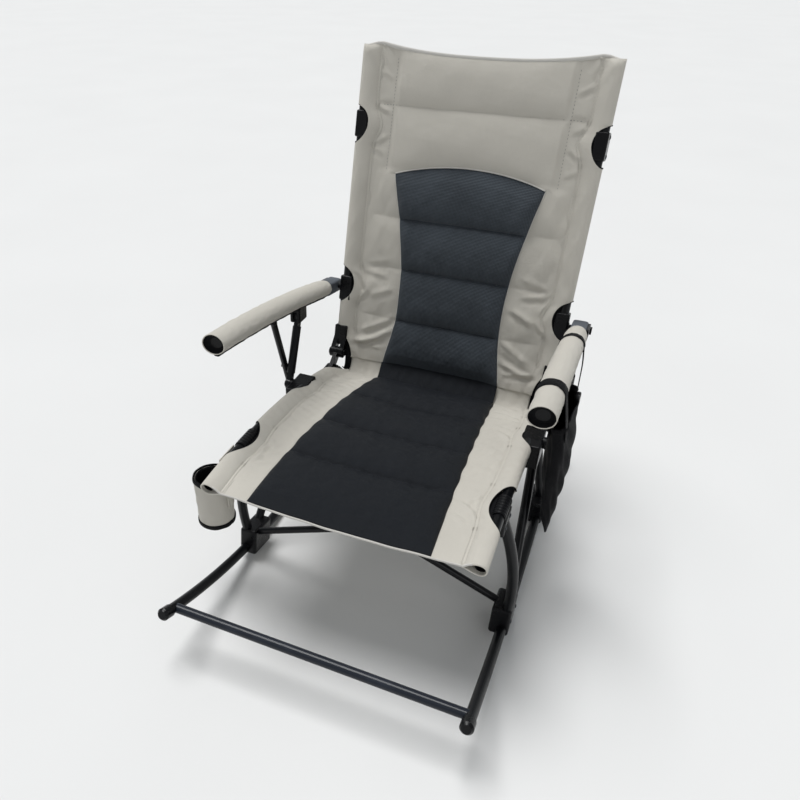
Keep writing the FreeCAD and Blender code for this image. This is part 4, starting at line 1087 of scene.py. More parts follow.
@dataclass
class SeatSling(Sling):
    """The seat's cloth, from its front hem to the crease under the back."""

    name: str = "seat_cloth"
    kink: float = 0.22
    moons: tuple[Moon, ...] = (
        Moon(seat_run(-0.276), 0.068, 0.036),
        Moon(seat_run(-0.003), 0.050, 0.029),
        Moon(SEAT_LENGTH, 0.0755, 0.046),
    )
    folds: tuple[Fold, ...] = (
        Fold((0.234, seat_run(-0.330)), (0.186, seat_run(-0.280)), 0.0030, 0.0065, 0.007),
        Fold((0.215, seat_run(-0.334)), (0.184, seat_run(-0.316)), 0.0020, 0.0060, 0.003),
        Fold((0.222, seat_run(-0.255)), (0.219, seat_run(-0.312)), 0.0022, 0.0060, -0.004),
        Fold((0.205, seat_run(-0.275)), (0.226, seat_run(-0.246)), 0.0020, 0.0060),
        Fold((0.232, seat_run(-0.020)), (0.190, seat_run(0.016)), 0.0026, 0.0065, 0.004),
        Fold((0.230, seat_run(0.022)), (0.186, seat_run(0.040)), 0.0022, 0.0060, -0.003),
        Fold((0.234, seat_run(0.098)), (0.165, seat_run(0.128)), 0.0034, 0.0075, 0.004),
        Fold((0.232, seat_run(0.075)), (0.170, seat_run(0.084)), 0.0026, 0.0070, 0.003),
        Fold((0.236, seat_run(0.118)), (0.162, seat_run(0.160)), 0.0034, 0.0075),
    )

    def surface(self, x: Array, run: Array, lift: Array) -> Array:
        """Points on the seat tubes' arc, raised along its radius."""
        y, z = SEAT_ARC.at(run - SEAT_OVER, lift)
        return np.stack([np.broadcast_to(x, y.shape), y, z], axis=-1)

    def end_of(self, x: Array) -> Array:
        """The seat ends on a straight line."""
        return np.full(np.shape(x), SEAT_LENGTH)

    def relief(self, x: Array, run: Array) -> Array:
        """Slack creases, the drawn folds, and gathers into the crease.

        Args:
            x: Places across.
            run: Runs along the cloth.

        Returns:
            The lift.
        """
        a = np.abs(x)
        fold = 0.0012 * crumple(x, run, 11, 0.085) + self.drawn(x, run)
        crease = ease(SEAT_LENGTH - 0.16, SEAT_LENGTH - 0.015, run) * ease(0.145, 0.19, a)
        warp = 2.6 * crumple(x, run, 5, 0.07)
        swell = 0.55 + 0.45 * crumple(x, run, 6, 0.10)
        fold += 0.0018 * crease * swell * np.sin(run * 120.0 + a * 150.0 + warp)
        fold += 0.0009 * ease(0.15, 0.2, a) * crumple(x, run, 8, 0.030) * ease(0.12, 0.3, run)
        return fold


BACK_LOW = -0.028
PANEL_TOP = 0.434
PANEL_ARCH = 0.027
PANEL_HEAD = 0.174
HEAD_SEAM = 0.580
HEAD_X = 0.197
BACK_SEAMS = (0.117, 0.243, 0.362)


def waist(run: Array) -> Array:
    """Half width of the back's mesh panel: wide at the foot, narrow above it, widest at the head.

    Args:
        run: Runs along the cloth.

    Returns:
        The half widths.
    """
    knots = np.array([-0.04, 0.0, *BACK_SEAMS, 0.462, 0.52])
    halves = np.array([0.156, 0.150, 0.131, 0.132, 0.151, PANEL_HEAD, 0.187])
    return curve_through(knots, halves, np.asarray(run, float))


def back_run(up: float) -> float:
    """Run of the back's cloth at a height along the back tubes."""
    return up - BACK_LOW


@dataclass
class BackSling(Sling):
    """The back's cloth, from the crease to its curved top hem. Its run starts at its lower edge."""

    name: str = "back_cloth"
    sag: float = 0.012
    moons: tuple[Moon, ...] = (
        Moon(0.0, 0.0755, 0.046),
        Moon(back_run(0.162), 0.047, 0.036),
        Moon(back_run(UPPER_BRACKET), 0.042, 0.032),
    )
    folds: tuple[Fold, ...] = (
        Fold((0.149, back_run(0.166)), (0.206, back_run(0.140)), 0.0036, 0.0080),
        Fold((0.137, back_run(0.092)), (0.224, back_run(0.044)), 0.0044, 0.0080, 0.003),
        Fold((0.139, back_run(0.066)), (0.238, back_run(0.020)), 0.0046, 0.0075, 0.005),
        Fold((0.146, back_run(0.038)), (0.236, back_run(0.018)), 0.0038, 0.0070, 0.004),
        Fold((0.160, back_run(0.010)), (0.236, back_run(0.022)), 0.0030, 0.0065),
        Fold((0.214, back_run(0.160)), (0.240, back_run(0.203)), 0.0032, 0.0065, -0.003),
        Fold((0.212, back_run(0.152)), (0.240, back_run(0.124)), 0.0030, 0.0065, 0.003),
        Fold((0.166, back_run(0.196)), (0.230, back_run(0.208)), 0.0028, 0.0075),
        Fold((0.160, back_run(0.238)), (0.226, back_run(0.220)), 0.0022, 0.0080),
        Fold((0.204, back_run(0.560)), (0.236, back_run(0.574)), 0.0020, 0.0060),
        Fold((0.206, back_run(0.520)), (0.234, back_run(0.500)), 0.0020, 0.0060),
        Fold((0.202, back_run(0.632)), (0.232, back_run(0.650)), 0.0016, 0.0060),
        Fold((0.204, back_run(0.470)), (0.232, back_run(0.486)), 0.0014, 0.0070),
    )

    def surface(self, x: Array, run: Array, lift: Array) -> Array:
        """Points on the leaning plane of the back tubes, raised to the front.

        Args:
            x: Places across.
            run: Runs along the cloth.
            lift: Lift off the plane.

        Returns:
            The points.
        """
        up = np.asarray(run) + BACK_LOW
        y = BACK_FOOT[0] + up * math.sin(BACK_LEAN) - lift * math.cos(BACK_LEAN)
        z = BACK_FOOT[1] + up * math.cos(BACK_LEAN) + lift * math.sin(BACK_LEAN)
        return np.stack([np.broadcast_to(x, y.shape), y, z], axis=-1)

    def end_of(self, x: Array) -> Array:
        """The top hem: low in the middle, highest inside the corners.

        Args:
            x: Places across.

        Returns:
            The hem's runs.
        """
        a = np.abs(x)
        top = 0.688 + 0.018 * np.minimum(a / 0.236, 1.0) ** 2.6 - 0.008 * ease(0.240, 0.2815, a)
        return top - BACK_LOW

    def sleeve_at(self, run: Array) -> Array:
        """The sleeve closes over the tube's end at the top."""
        high = np.clip((np.asarray(run) + BACK_LOW - 0.684) / 0.016, 0.0, 0.985)
        return self.sleeve * np.sqrt(1.0 - high**2)

    def headrest(self, x: Array, up: Array) -> Array:
        """Two padded channels over the arch, and their cross seam carried on beside them.

        Args:
            x: Places across.
            up: Heights along the back tubes.

        Returns:
            The lift: half ovals between the seams.
        """
        a = np.abs(x)
        top = self.end_of(x) + BACK_LOW
        arch = PANEL_TOP + PANEL_ARCH * (1.0 - np.minimum(a / PANEL_HEAD, 1.0) ** 2)
        lower = np.clip((up - arch) / (HEAD_SEAM - arch), 0.0, 1.0)
        upper = np.clip((up - HEAD_SEAM) / (top - HEAD_SEAM), 0.0, 1.0)
        puff = np.sqrt(4.0 * lower * (1.0 - lower)) + np.sqrt(4.0 * upper * (1.0 - upper))
        across = 1.0 - ease(HEAD_X - 0.016, HEAD_X, a)
        across = across * (1.0 - 0.40 * ease(HEAD_X - 0.070, HEAD_X - 0.010, a))
        beside = ease(HEAD_X, HEAD_X + 0.006, a) * (1.0 - ease(0.224, 0.238, a))
        return 0.0130 * across * puff - 0.0028 * beside * bell(up - HEAD_SEAM, 0.007)

    def relief(self, x: Array, run: Array) -> Array:
        """The headrest, border swells between the panel's seams, the drawn folds and gathers.

        Args:
            x: Places across.
            run: Runs along the cloth.

        Returns:
            The lift.
        """
        a = np.abs(x)
        up = run + BACK_LOW
        fold = self.headrest(x, up) + 0.0012 * crumple(x, run, 21, 0.09) + self.drawn(x, run)
        below = 1.0 - ease(PANEL_TOP - 0.006, PANEL_TOP + 0.020, up)
        marks = np.array([-0.05, *BACK_SEAMS, PANEL_TOP - BACK_LOW + 0.012])
        t = channel_share(run - 0.05 * np.maximum(a - 0.14, 0.0), marks)
        strip = ease(0.105, 0.150, a) * (1.0 - ease(0.196, 0.232, a))
        fold += 0.0072 * strip * below * np.clip(4.0 * t * (1.0 - t), 0.0, 1.0) ** 0.6
        low = (1.0 - ease(0.0, 0.14, up)) * ease(0.135, 0.175, a)
        warp = 3.0 * crumple(x, run, 25, 0.08)
        swell = 0.5 + 0.5 * crumple(x, run, 27, 0.11)
        fold += 0.0016 * low * swell * np.sin(up * 110.0 - a * 130.0 + np.sign(x) + warp)
        fold += 0.0009 * ease(0.13, 0.17, a) * crumple(x, run, 28, 0.032) * below
        top_pull = ease(0.62, 0.69, up) * ease(0.19, 0.235, a)
        fold += 0.0012 * top_pull * np.sin(a * 200.0 - up * 120.0)
        return fold


@dataclass
class PaddedPanel:
    """A padded panel sewn onto a sling in cross channels: crowned, with edges drawn down to the cloth."""

    name: str
    sling: Sling
    rows: int
    crown: float
    seams: tuple[float, ...]
    seam_reach: float
    seed: int
    roundness: float
    end_soft: float = 0.030
    floor: float = 0.0004

    def half_width(self, run: Array) -> Array:
        """Half width of the panel at each run."""
        raise NotImplementedError

    def ends(self, share: Array) -> tuple[Array, Array]:
        """Runs of the near and far edges at each share of the half width."""
        raise NotImplementedError

    def grid(self) -> tuple[Array, Array, Array]:
        """Share across, x and run of the panel's grid.

        Returns:
            Three arrays, with rows closer together at both ends.
        """
        across = np.sin(spread(-math.pi / 2, math.pi / 2, 141))
        along = 0.5 - 0.5 * np.cos(spread(0.0, math.pi, 41))
        along = np.unique(np.concatenate([spread(0.0, 1.0, self.rows), along[:6], along[-6:]]))
        near, far = self.ends(across)
        run = near[None, :] + along[:, None] * (far - near)[None, :]
        share = np.broadcast_to(across[None, :], run.shape)
        return share, share * self.half_width(run), run

    def puff(self, share: Array, x: Array, run: Array) -> Array:
        """Height of the padding over the sling: channel crowns between seams, softened at the seams' ends.

        Args:
            share: Shares of the half width.
            x: Places across.
            run: Runs along the cloth.

        Returns:
            The height: a power of a parabola in each channel.
        """
        near, far = self.ends(share)
        marks = np.concatenate([[-1.0], np.asarray(self.seams), [9.0]])
        place = np.searchsorted(marks, run) - 1
        low = np.maximum(marks[np.clip(place, 0, len(marks) - 2)], near)
        high = np.minimum(marks[np.clip(place + 1, 1, len(marks) - 1)], far)
        t = np.clip((run - low) / np.maximum(high - low, 1e-6), 0.0, 1.0)
        roll = np.clip(4.0 * t * (1.0 - t), 0.0, 1.0) ** self.roundness
        ends = np.clip((run - near) / self.end_soft, 0.0, 1.0)
        ends = ends * np.clip((far - run) / self.end_soft, 0.0, 1.0)
        soft = np.sqrt(np.clip(ends, 0.0, 1.0))
        fade = ease(self.seam_reach, 1.0, np.abs(share))
        body = (roll * (1.0 - fade) + fade * (0.45 * roll + 0.45)) * soft
        rim = np.clip(1.0 - np.abs(share) ** 9, 0.0, 1.0) ** 0.5
        folds = 0.0007 * crumple(x, run, self.seed, 0.05) + 0.0005 * crumple(x, run, self.seed + 1, 0.02)
        pull = sum(0.0013 * bell(run - seam, 0.022) * np.sin(x * 190.0 + seam * 70.0) for seam in self.seams)
        groove = sum(0.0010 * bell(run - seam, 0.0034) for seam in self.seams) * (1.0 - fade)
        return rim * (self.crown * body + (folds + pull) * soft) - groove

    def face(self, share: Array, x: Array, run: Array) -> Array:
        """Lift of the padded face: the sling's, the cloth of the panel and the padding."""
        cloth = self.floor + 0.0012 * np.clip(1.0 - np.abs(share) ** 30, 0.0, 1.0)
        return self.sling.lift_at(x, run) + cloth + self.puff(share, x, run)

    def seam_rows(self) -> list[Line]:
        """Paths along the bottom of the seams, with the sling's normals.

        Returns:
            A path for each seam.
        """
        rows = []
        for seam in self.seams:
            share = spread(-0.93, 0.93, 200)
            run = np.full(share.shape, seam)
            x = share * self.half_width(run)
            path = self.sling.surface(x, run, self.face(share, x, run) + 0.0004)
            rows.append((path, self.sling.facing(x, run)))
        return rows

    def build(self) -> Thing:
        """The panel as a closed form: its padded face over a flat underside.

        Returns:
            The panel, closed along its edges.
        """
        share, x, run = self.grid()
        floor = self.sling.lift_at(x, run) + self.floor
        face = self.face(share, x, run)
        edge = np.zeros(x.shape, bool)
        edge[[0, -1], :] = True
        edge[:, [0, -1]] = True
        face = np.where(edge, floor, face)
        uv = np.stack([x, run], axis=-1)
        shell = Shell(self.name)
        shell.grid(self.sling.surface(x, run, face), uv)
        under = np.where(edge, floor, floor - self.sling.cloth)
        shell.grid(self.sling.surface(x, run, under), uv, flip=True)
        return shell.build(weld=1e-6)


@dataclass
class SeatPanel(PaddedPanel):
    """The seat's black middle, wider at the front."""

    name: str = "seat_pad"
    sling: Sling = field(default_factory=SeatSling)
    front_half: float = 0.182
    rear_half: float = 0.153
    rows: int = 321
    crown: float = 0.0175
    roundness: float = 0.46
    seams: tuple[float, ...] = tuple(SEAT_LENGTH * share for share in (0.262, 0.485, 0.735))
    seam_reach: float = 0.80
    seed: int = 31

    def half_width(self, run: Array) -> Array:
        """A straight taper with a slightly wavy edge."""
        taper = self.front_half + (self.rear_half - self.front_half) * run / SEAT_LENGTH
        return taper + 0.0011 * np.sin(run * 95.0) * ease(0.05, 0.2, run)

    def ends(self, share: Array) -> tuple[Array, Array]:
        """From behind the front hem to the crease."""
        return np.full(np.shape(share), 0.003), np.full(np.shape(share), SEAT_LENGTH)


@dataclass
class BackPanel(PaddedPanel):
    """The back's waisted mesh middle with an arched head."""

    name: str = "back_pad"
    sling: Sling = field(default_factory=BackSling)
    rows: int = 281
    crown: float = 0.0190
    roundness: float = 0.50
    seams: tuple[float, ...] = BACK_SEAMS
    seam_reach: float = 0.90
    seed: int = 41

    def half_width(self, run: Array) -> Array:
        """The panel's waist."""
        return waist(run)

    def ends(self, share: Array) -> tuple[Array, Array]:
        """From the crease to the arch."""
        far = PANEL_TOP - BACK_LOW + PANEL_ARCH * (1.0 - np.asarray(share) ** 2)
        return np.zeros(np.shape(share)), far


@dataclass
class Crease:
    """The cloth between seat and back: a bent strip from the seat's rear edge to the back's foot."""

    seat: SeatSling
    back: BackSling
    thickness: float = 0.0020
    corner: tuple[float, float] = (0.2150, 0.2925)
    seed: int = 51

    def strip(self, name: str, span: tuple[float, float], lift: float, fill: float) -> Thing:
        """A strip of the crease.

        Args:
            name: Name of the piece.
            span: Its two sides across the chair.
            lift: How far it lies over the cloth's plane.
            fill: How far its bend is filled up and forward.

        Returns:
            The strip: a curve between the two edges with its bend under the crease, carried across
            the chair, and the same curve a cloth's thickness below it, pinched together at the sides.
        """
        x = spread(span[0], span[1], 121)
        start = self.seat.on_top(x, np.full(x.shape, SEAT_LENGTH - 0.004), lift - 0.0012)
        end = self.back.on_top(x, np.full(x.shape, 0.004), lift - 0.0012)
        corner = np.array([0.0, self.corner[0] - 0.5 * fill, self.corner[1] + lift + fill])
        bend = np.broadcast_to(corner, start.shape).copy()
        bend[:, 0] = x
        t = spread(0.0, 1.0, 33)[:, None, None]
        points = (1 - t) ** 2 * start + 2 * t * (1 - t) * bend + t**2 * end
        wave = 0.0016 * np.sin(x * 210.0 + 2.0 * crumple(x, x * 0.0, self.seed, 0.06))
        points[:, :, 2] += wave * np.sin(math.pi * t[:, :, 0])
        along, across = np.gradient(points, axis=0), np.gradient(points, axis=1)
        normal = unit(np.cross(across, along))
        depth = self.thickness * (np.minimum(x - span[0], span[1] - x) > 1e-4)
        ring = np.concatenate([points, (points - depth[None, :, None] * normal)[::-1]]).transpose(1, 0, 2)
        girth = np.concatenate([t[:, 0, 0], t[::-1, 0, 0]]) * 0.08
        shell = Shell(name)
        shell.grid(ring, np.stack(np.broadcast_arrays(x[:, None], girth[None, :]), axis=-1), loop=True)
        return shell.build(weld=1e-6)


@dataclass
class StitchRow:
    """A row of short thread dashes laid on cloth."""

    length: float = 0.0046
    gap: float = 0.0026
    width: float = 0.0010
    height: float = 0.0008

    def build(self, name: str, lines: list[Line]) -> Thing:
        """The row as one mesh of small pointed bars.

        Args:
            name: Name of the piece.
            lines: Paths with the cloth's normals along them.

        Returns:
            The piece: each dash is a six-point bar set along its path.
        """
        bar = np.array([[-0.5, 0, 0], [0, -0.5, 0], [0, 0, 0.6], [0, 0.5, 0], [0, 0, -0.6], [0.5, 0, 0]])
        bar = bar * np.array([self.length, self.width, self.height])
        sides = np.array([[0, 2, 1], [0, 3, 2], [0, 4, 3], [0, 1, 4],
                          [5, 1, 2], [5, 2, 3], [5, 3, 4], [5, 4, 1]])
        points, faces, total = [], [], 0
        for path, normal in lines:
            centre = resample(path, self.length + self.gap)
            run = np.linspace(0.0, 1.0, len(path))
            want = np.linspace(0.0, 1.0, len(centre))
            up = unit(np.stack([np.interp(want, run, normal[:, axis]) for axis in range(3)], axis=1))
            along = unit(np.gradient(centre, axis=0))
            side = unit(np.cross(up, along))
            body = (centre[:, None, :] + bar[None, :, :1] * along[:, None, :]
                    + bar[None, :, 1:2] * side[:, None, :] + bar[None, :, 2:] * up[:, None, :])
            points.append(body.reshape(-1, 3))
            first = total + len(bar) * np.arange(len(centre))
            faces.append((sides[None, :, :] + first[:, None, None]).reshape(-1, 3))
            total += len(bar) * len(centre)
        mesh = bpy.data.meshes.new(name)
        mesh.from_pydata(np.concatenate(points).tolist(), [], np.concatenate(faces).tolist())
        mesh.uv_layers.new(name="cloth")
        turned(mesh)
        return placed(name, mesh)


@dataclass
class SlingWork:
    """The whole sling: seat, back, panels, tapes, hems and stitching."""

    wardrobe: Wardrobe
    seat: SeatSling = field(default_factory=SeatSling)
    back: BackSling = field(default_factory=BackSling)
    cut_width: float = 0.680
    crease_half: float = 0.234
    crease_pad_half: float = 0.151
    crease_lining: tuple[float, float] = (0.226, 0.251)

    def build(self) -> None:
        """Make and dress every piece of the sling."""
        seat_cloth = self.wardrobe.settle(self.seat.build(Vector((0, 0, 1))), BEIGE, "base", "beige_cloth")
        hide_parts("seat_side_left", "seat_side_right")
        back_cloth = self.wardrobe.settle(self.back.build(Vector((0, -1, 0.2))), BEIGE, "back", "beige_cloth")
        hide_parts("back_cover")
        length = float(self.back.end_of(np.array(0.0)))
        seat_panel, back_panel = SeatPanel(), BackPanel()
        seat_pad = self.wardrobe.settle(seat_panel.build(), BLACK_NYLON, "base", "black_cloth")
        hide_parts("seat_panel")
        back_pad = self.wardrobe.settle(back_panel.build(), SLATE_MESH, "back", "slate_mesh")
        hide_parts("back_panel")
        # Near-continuous dark bars 3 mm wide along the panels' seams: real quilting thread, widened to paint
        # the shade in the seam grooves.
        quilting_and_seam_shade = StitchRow(length=0.0062, gap=0.0006, width=0.0030, height=0.0012)
        for panel, body, slot in ((seat_panel, "base", "black_cloth"), (back_panel, "back", "slate_mesh")):
            rows = quilting_and_seam_shade.build(f"{panel.name}_quilting", panel.seam_rows())
            self.wardrobe.settle(rows, THREAD_AND_SEAM_SHADE, body, slot)
        for sling, body in ((self.seat, "base"), (self.back, "back")):
            self.openings(sling, body)
        self.hems(back_panel)
        self.welts(self.seat, "base", low=0.004, high=SEAT_LENGTH - 0.040)
        self.welts(self.back, "back", low=0.034, high=back_run(0.682))
        self.headrest_stitching()
        self.under_stitching()
        self.crease()

    def openings(self, sling: Sling, body: str) -> None:
        """Slim black tape round every half-moon of a sling, and the dark lining inside it.

        Args:
            sling: The sling.
            body: The body it rides on.
        """
        for number, path in enumerate(sling.bindings()):
            tape = loft(f"{sling.name}_tape{number}", path, oval(0.0017, 0.0015, 10), ACROSS)
            self.wardrobe.settle(tape, BLACK_TAPE, body, "black_cloth")
        for number, grid in enumerate(sling.linings()):
            shell = Shell(f"{sling.name}_lining{number}")
            shell.grid(grid, grid[:, :, :2])
            foot, head = sling.surface(np.zeros(2), np.full(2, 0.3), np.array([0.0, 0.1]))
            lining = thicken(shell.build(outward=Vector(head - foot)), 0.0010)
            self.wardrobe.settle(lining, BLACK_TAPE, body, "black_cloth")

    def hems(self, panel: BackPanel) -> None:
        """The pale hems of the seat's front and the back's top, and the piping of the mesh panel.

        Args:
            panel: The mesh panel.
        """
        x = spread(-0.255, 0.255, 160)
        front = self.seat.on_top(x, np.full(x.shape, 0.0012), -0.0012)
        hem = loft("seat_front_hem", front, oval(0.0015, 0.0024, 10), (0.0, 1.0, 0.0))
        self.wardrobe.settle(hem, PALE_HEM, "base", "beige_cloth")
        x = spread(-0.272, 0.272, 200)
        top = self.back.on_top(x, self.back.end_of(x) - 0.003, -0.0008)
        taper = 1.0 - 0.75 * ease(0.225, 0.272, np.abs(x))
        roll = loft("back_top_hem", top, oval(0.0030, 0.0042, 12, 2.4), (0.0, 1.0, 0.0), scale=taper)
        self.wardrobe.settle(roll, PALE_HEM, "back", "beige_cloth")
        share = spread(-1.0, 1.0, 120)
        far = panel.ends(share)[1]
        arch = self.back.on_top(share * panel.half_width(far), far + 0.0012, 0.0010)
        piping = loft("arch_piping", arch, oval(0.0016, 0.0016, 8), (0.0, 0.0, 1.0))
        self.wardrobe.settle(piping, PALE_HEM, "back", "beige_cloth")
        run = spread(0.010, PANEL_TOP - BACK_LOW, 160)
        for side in Side:
            edge = self.back.on_top(side.value * (waist(run) + 0.0010), run, 0.0005)
            cord = loft(f"panel_piping_{side.word}", edge, oval(0.0011, 0.0011, 8), ACROSS)
            self.wardrobe.settle(cord, PALE_HEM, "back", "beige_cloth")

    def laid(self, sling: Sling, x: Array, run: Array, above: float = 0.0003) -> Line:
        """A path on a sling with its normals."""
        return sling.on_top(x, run, above), sling.facing(x, run)

    def welts(self, sling: Sling, body: str, low: float, high: float) -> None:
        """The sleeves' flat seams: a raised band, stitches on each edge, tacks by the openings.

        Args:
            sling: The sling.
            body: The body it rides on.
            low: Where they start.
            high: Where they end.
        """
        rows = []
        for side in Side:
            x, run = sling.seam_line(side, 0.0, low, high)
            band = loft(f"{sling.name}_seam_{side.word}", sling.on_top(x, run, 0.0001),
                        oval(0.0040, 0.0010, 10, 3.2), ACROSS)
            self.wardrobe.settle(band, BEIGE, body, "beige_cloth")
            for inset in (-0.0027, 0.0027):
                rows.append(self.laid(sling, *sling.seam_line(side, inset, low, high), 0.0010))
            for bow in sling.bows():
                for at in (bow[0], bow[-1]):
                    if low < at < high:
                        rows.extend(self.tack(sling, side, at))
        self.stitch(f"{sling.name}_stitching", rows, BEIGE_THREAD, body)

    def stitch(self, name: str, rows: list[Line], thread: ClothFinish, body: str) -> None:
        """Make and dress stitch rows on beige cloth."""
        self.wardrobe.settle(StitchRow().build(name, rows), thread, body, "beige_cloth")

    def tack(self, sling: Sling, side: Side, at: float) -> list[Line]:
        """Short rows across a seam, close together.

        Args:
            sling: The sling.
            side: The seam.
            at: Run of the middle row.

        Returns:
            The rows.
        """
        rows = []
        for step in (-0.0036, -0.0018, 0.0, 0.0018, 0.0036):
            x = side.value * (float(sling.seam_at(np.array(at))) + spread(-0.0075, 0.0075, 8))
            rows.append(self.laid(sling, x, np.full(x.shape, at + step), 0.0012))
        return rows

    def headrest_stitching(self) -> None:
        """Dark single rows up the headrest's sides and along its cross seam."""
        rows = []
        for side in Side:
            run = spread(PANEL_TOP - BACK_LOW + 0.006, back_run(0.678), 160)
            rows.append(self.laid(self.back, np.full(run.shape, side.value * (HEAD_X + 0.001)), run))
        x = spread(-HEAD_X - 0.026, HEAD_X + 0.026, 160)
        rows.append(self.laid(self.back, x, np.full(x.shape, HEAD_SEAM - BACK_LOW)))
        self.stitch("headrest_stitching", rows, DARK_THREAD, "back")

    def under(self, sling: Sling, x: Array, run: Array) -> Line:
        """A path on the hidden face of a sling with its normals."""
        return sling.on_top(x, run, -sling.cloth - 0.0003), -sling.facing(x, run)

    def under_stitching(self) -> None:
        """The quilted seams' rows where they come through on the hidden faces of seat and back."""
        rows = []
        for run in BACK_SEAMS:
            half = float(waist(np.array(run))) - 0.006
            x = spread(-half, half, 120)
            rows.append(self.under(self.back, x, np.full(x.shape, run)))
        x = spread(-HEAD_X + 0.008, HEAD_X - 0.008, 120)
        rows.append(self.under(self.back, x, np.full(x.shape, HEAD_SEAM - BACK_LOW)))
        run = spread(0.012, PANEL_TOP - BACK_LOW, 200)
        for side in Side:
            rows.append(self.under(self.back, side.value * (waist(run) - 0.002), run))
        self.stitch("back_rear_stitching", rows, DARK_THREAD, "back")
        panel, rows = SeatPanel(), []
        for run in panel.seams:
            half = 0.86 * float(panel.half_width(np.array(run)))
            x = spread(-half, half, 120)
            rows.append(self.under(self.seat, x, np.full(x.shape, run)))
        run = spread(0.012, SEAT_LENGTH - 0.012, 200)
        for side in Side:
            rows.append(self.under(self.seat, side.value * (panel.half_width(run) - 0.002), run))
        self.stitch("seat_under_stitching", rows, DARK_THREAD, "base")

    def crease(self) -> None:
        """The strips that bend between seat and back."""
        maker = Crease(self.seat, self.back)
        cloth = maker.strip("crease_cloth", (-self.crease_half, self.crease_half), -0.0006, 0.0)
        self.wardrobe.dress(cloth, BEIGE)
        pad = maker.strip("crease_pad", (-self.crease_pad_half, self.crease_pad_half), 0.0050, 0.012)
        self.wardrobe.dress(pad, BLACK_NYLON)
        strips = [cloth, pad]
        for side in Side:
            low, high = sorted(side.value * x for x in self.crease_lining)
            lining = maker.strip(f"crease_lining_{side.word}", (low, high), -0.0040, 0.0)
            self.wardrobe.dress(lining, BLACK_TAPE)
            strips.append(lining)
        for strip in strips:
            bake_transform(strip)
            log.info("piece %s between base and back", strip.name)


# Arms


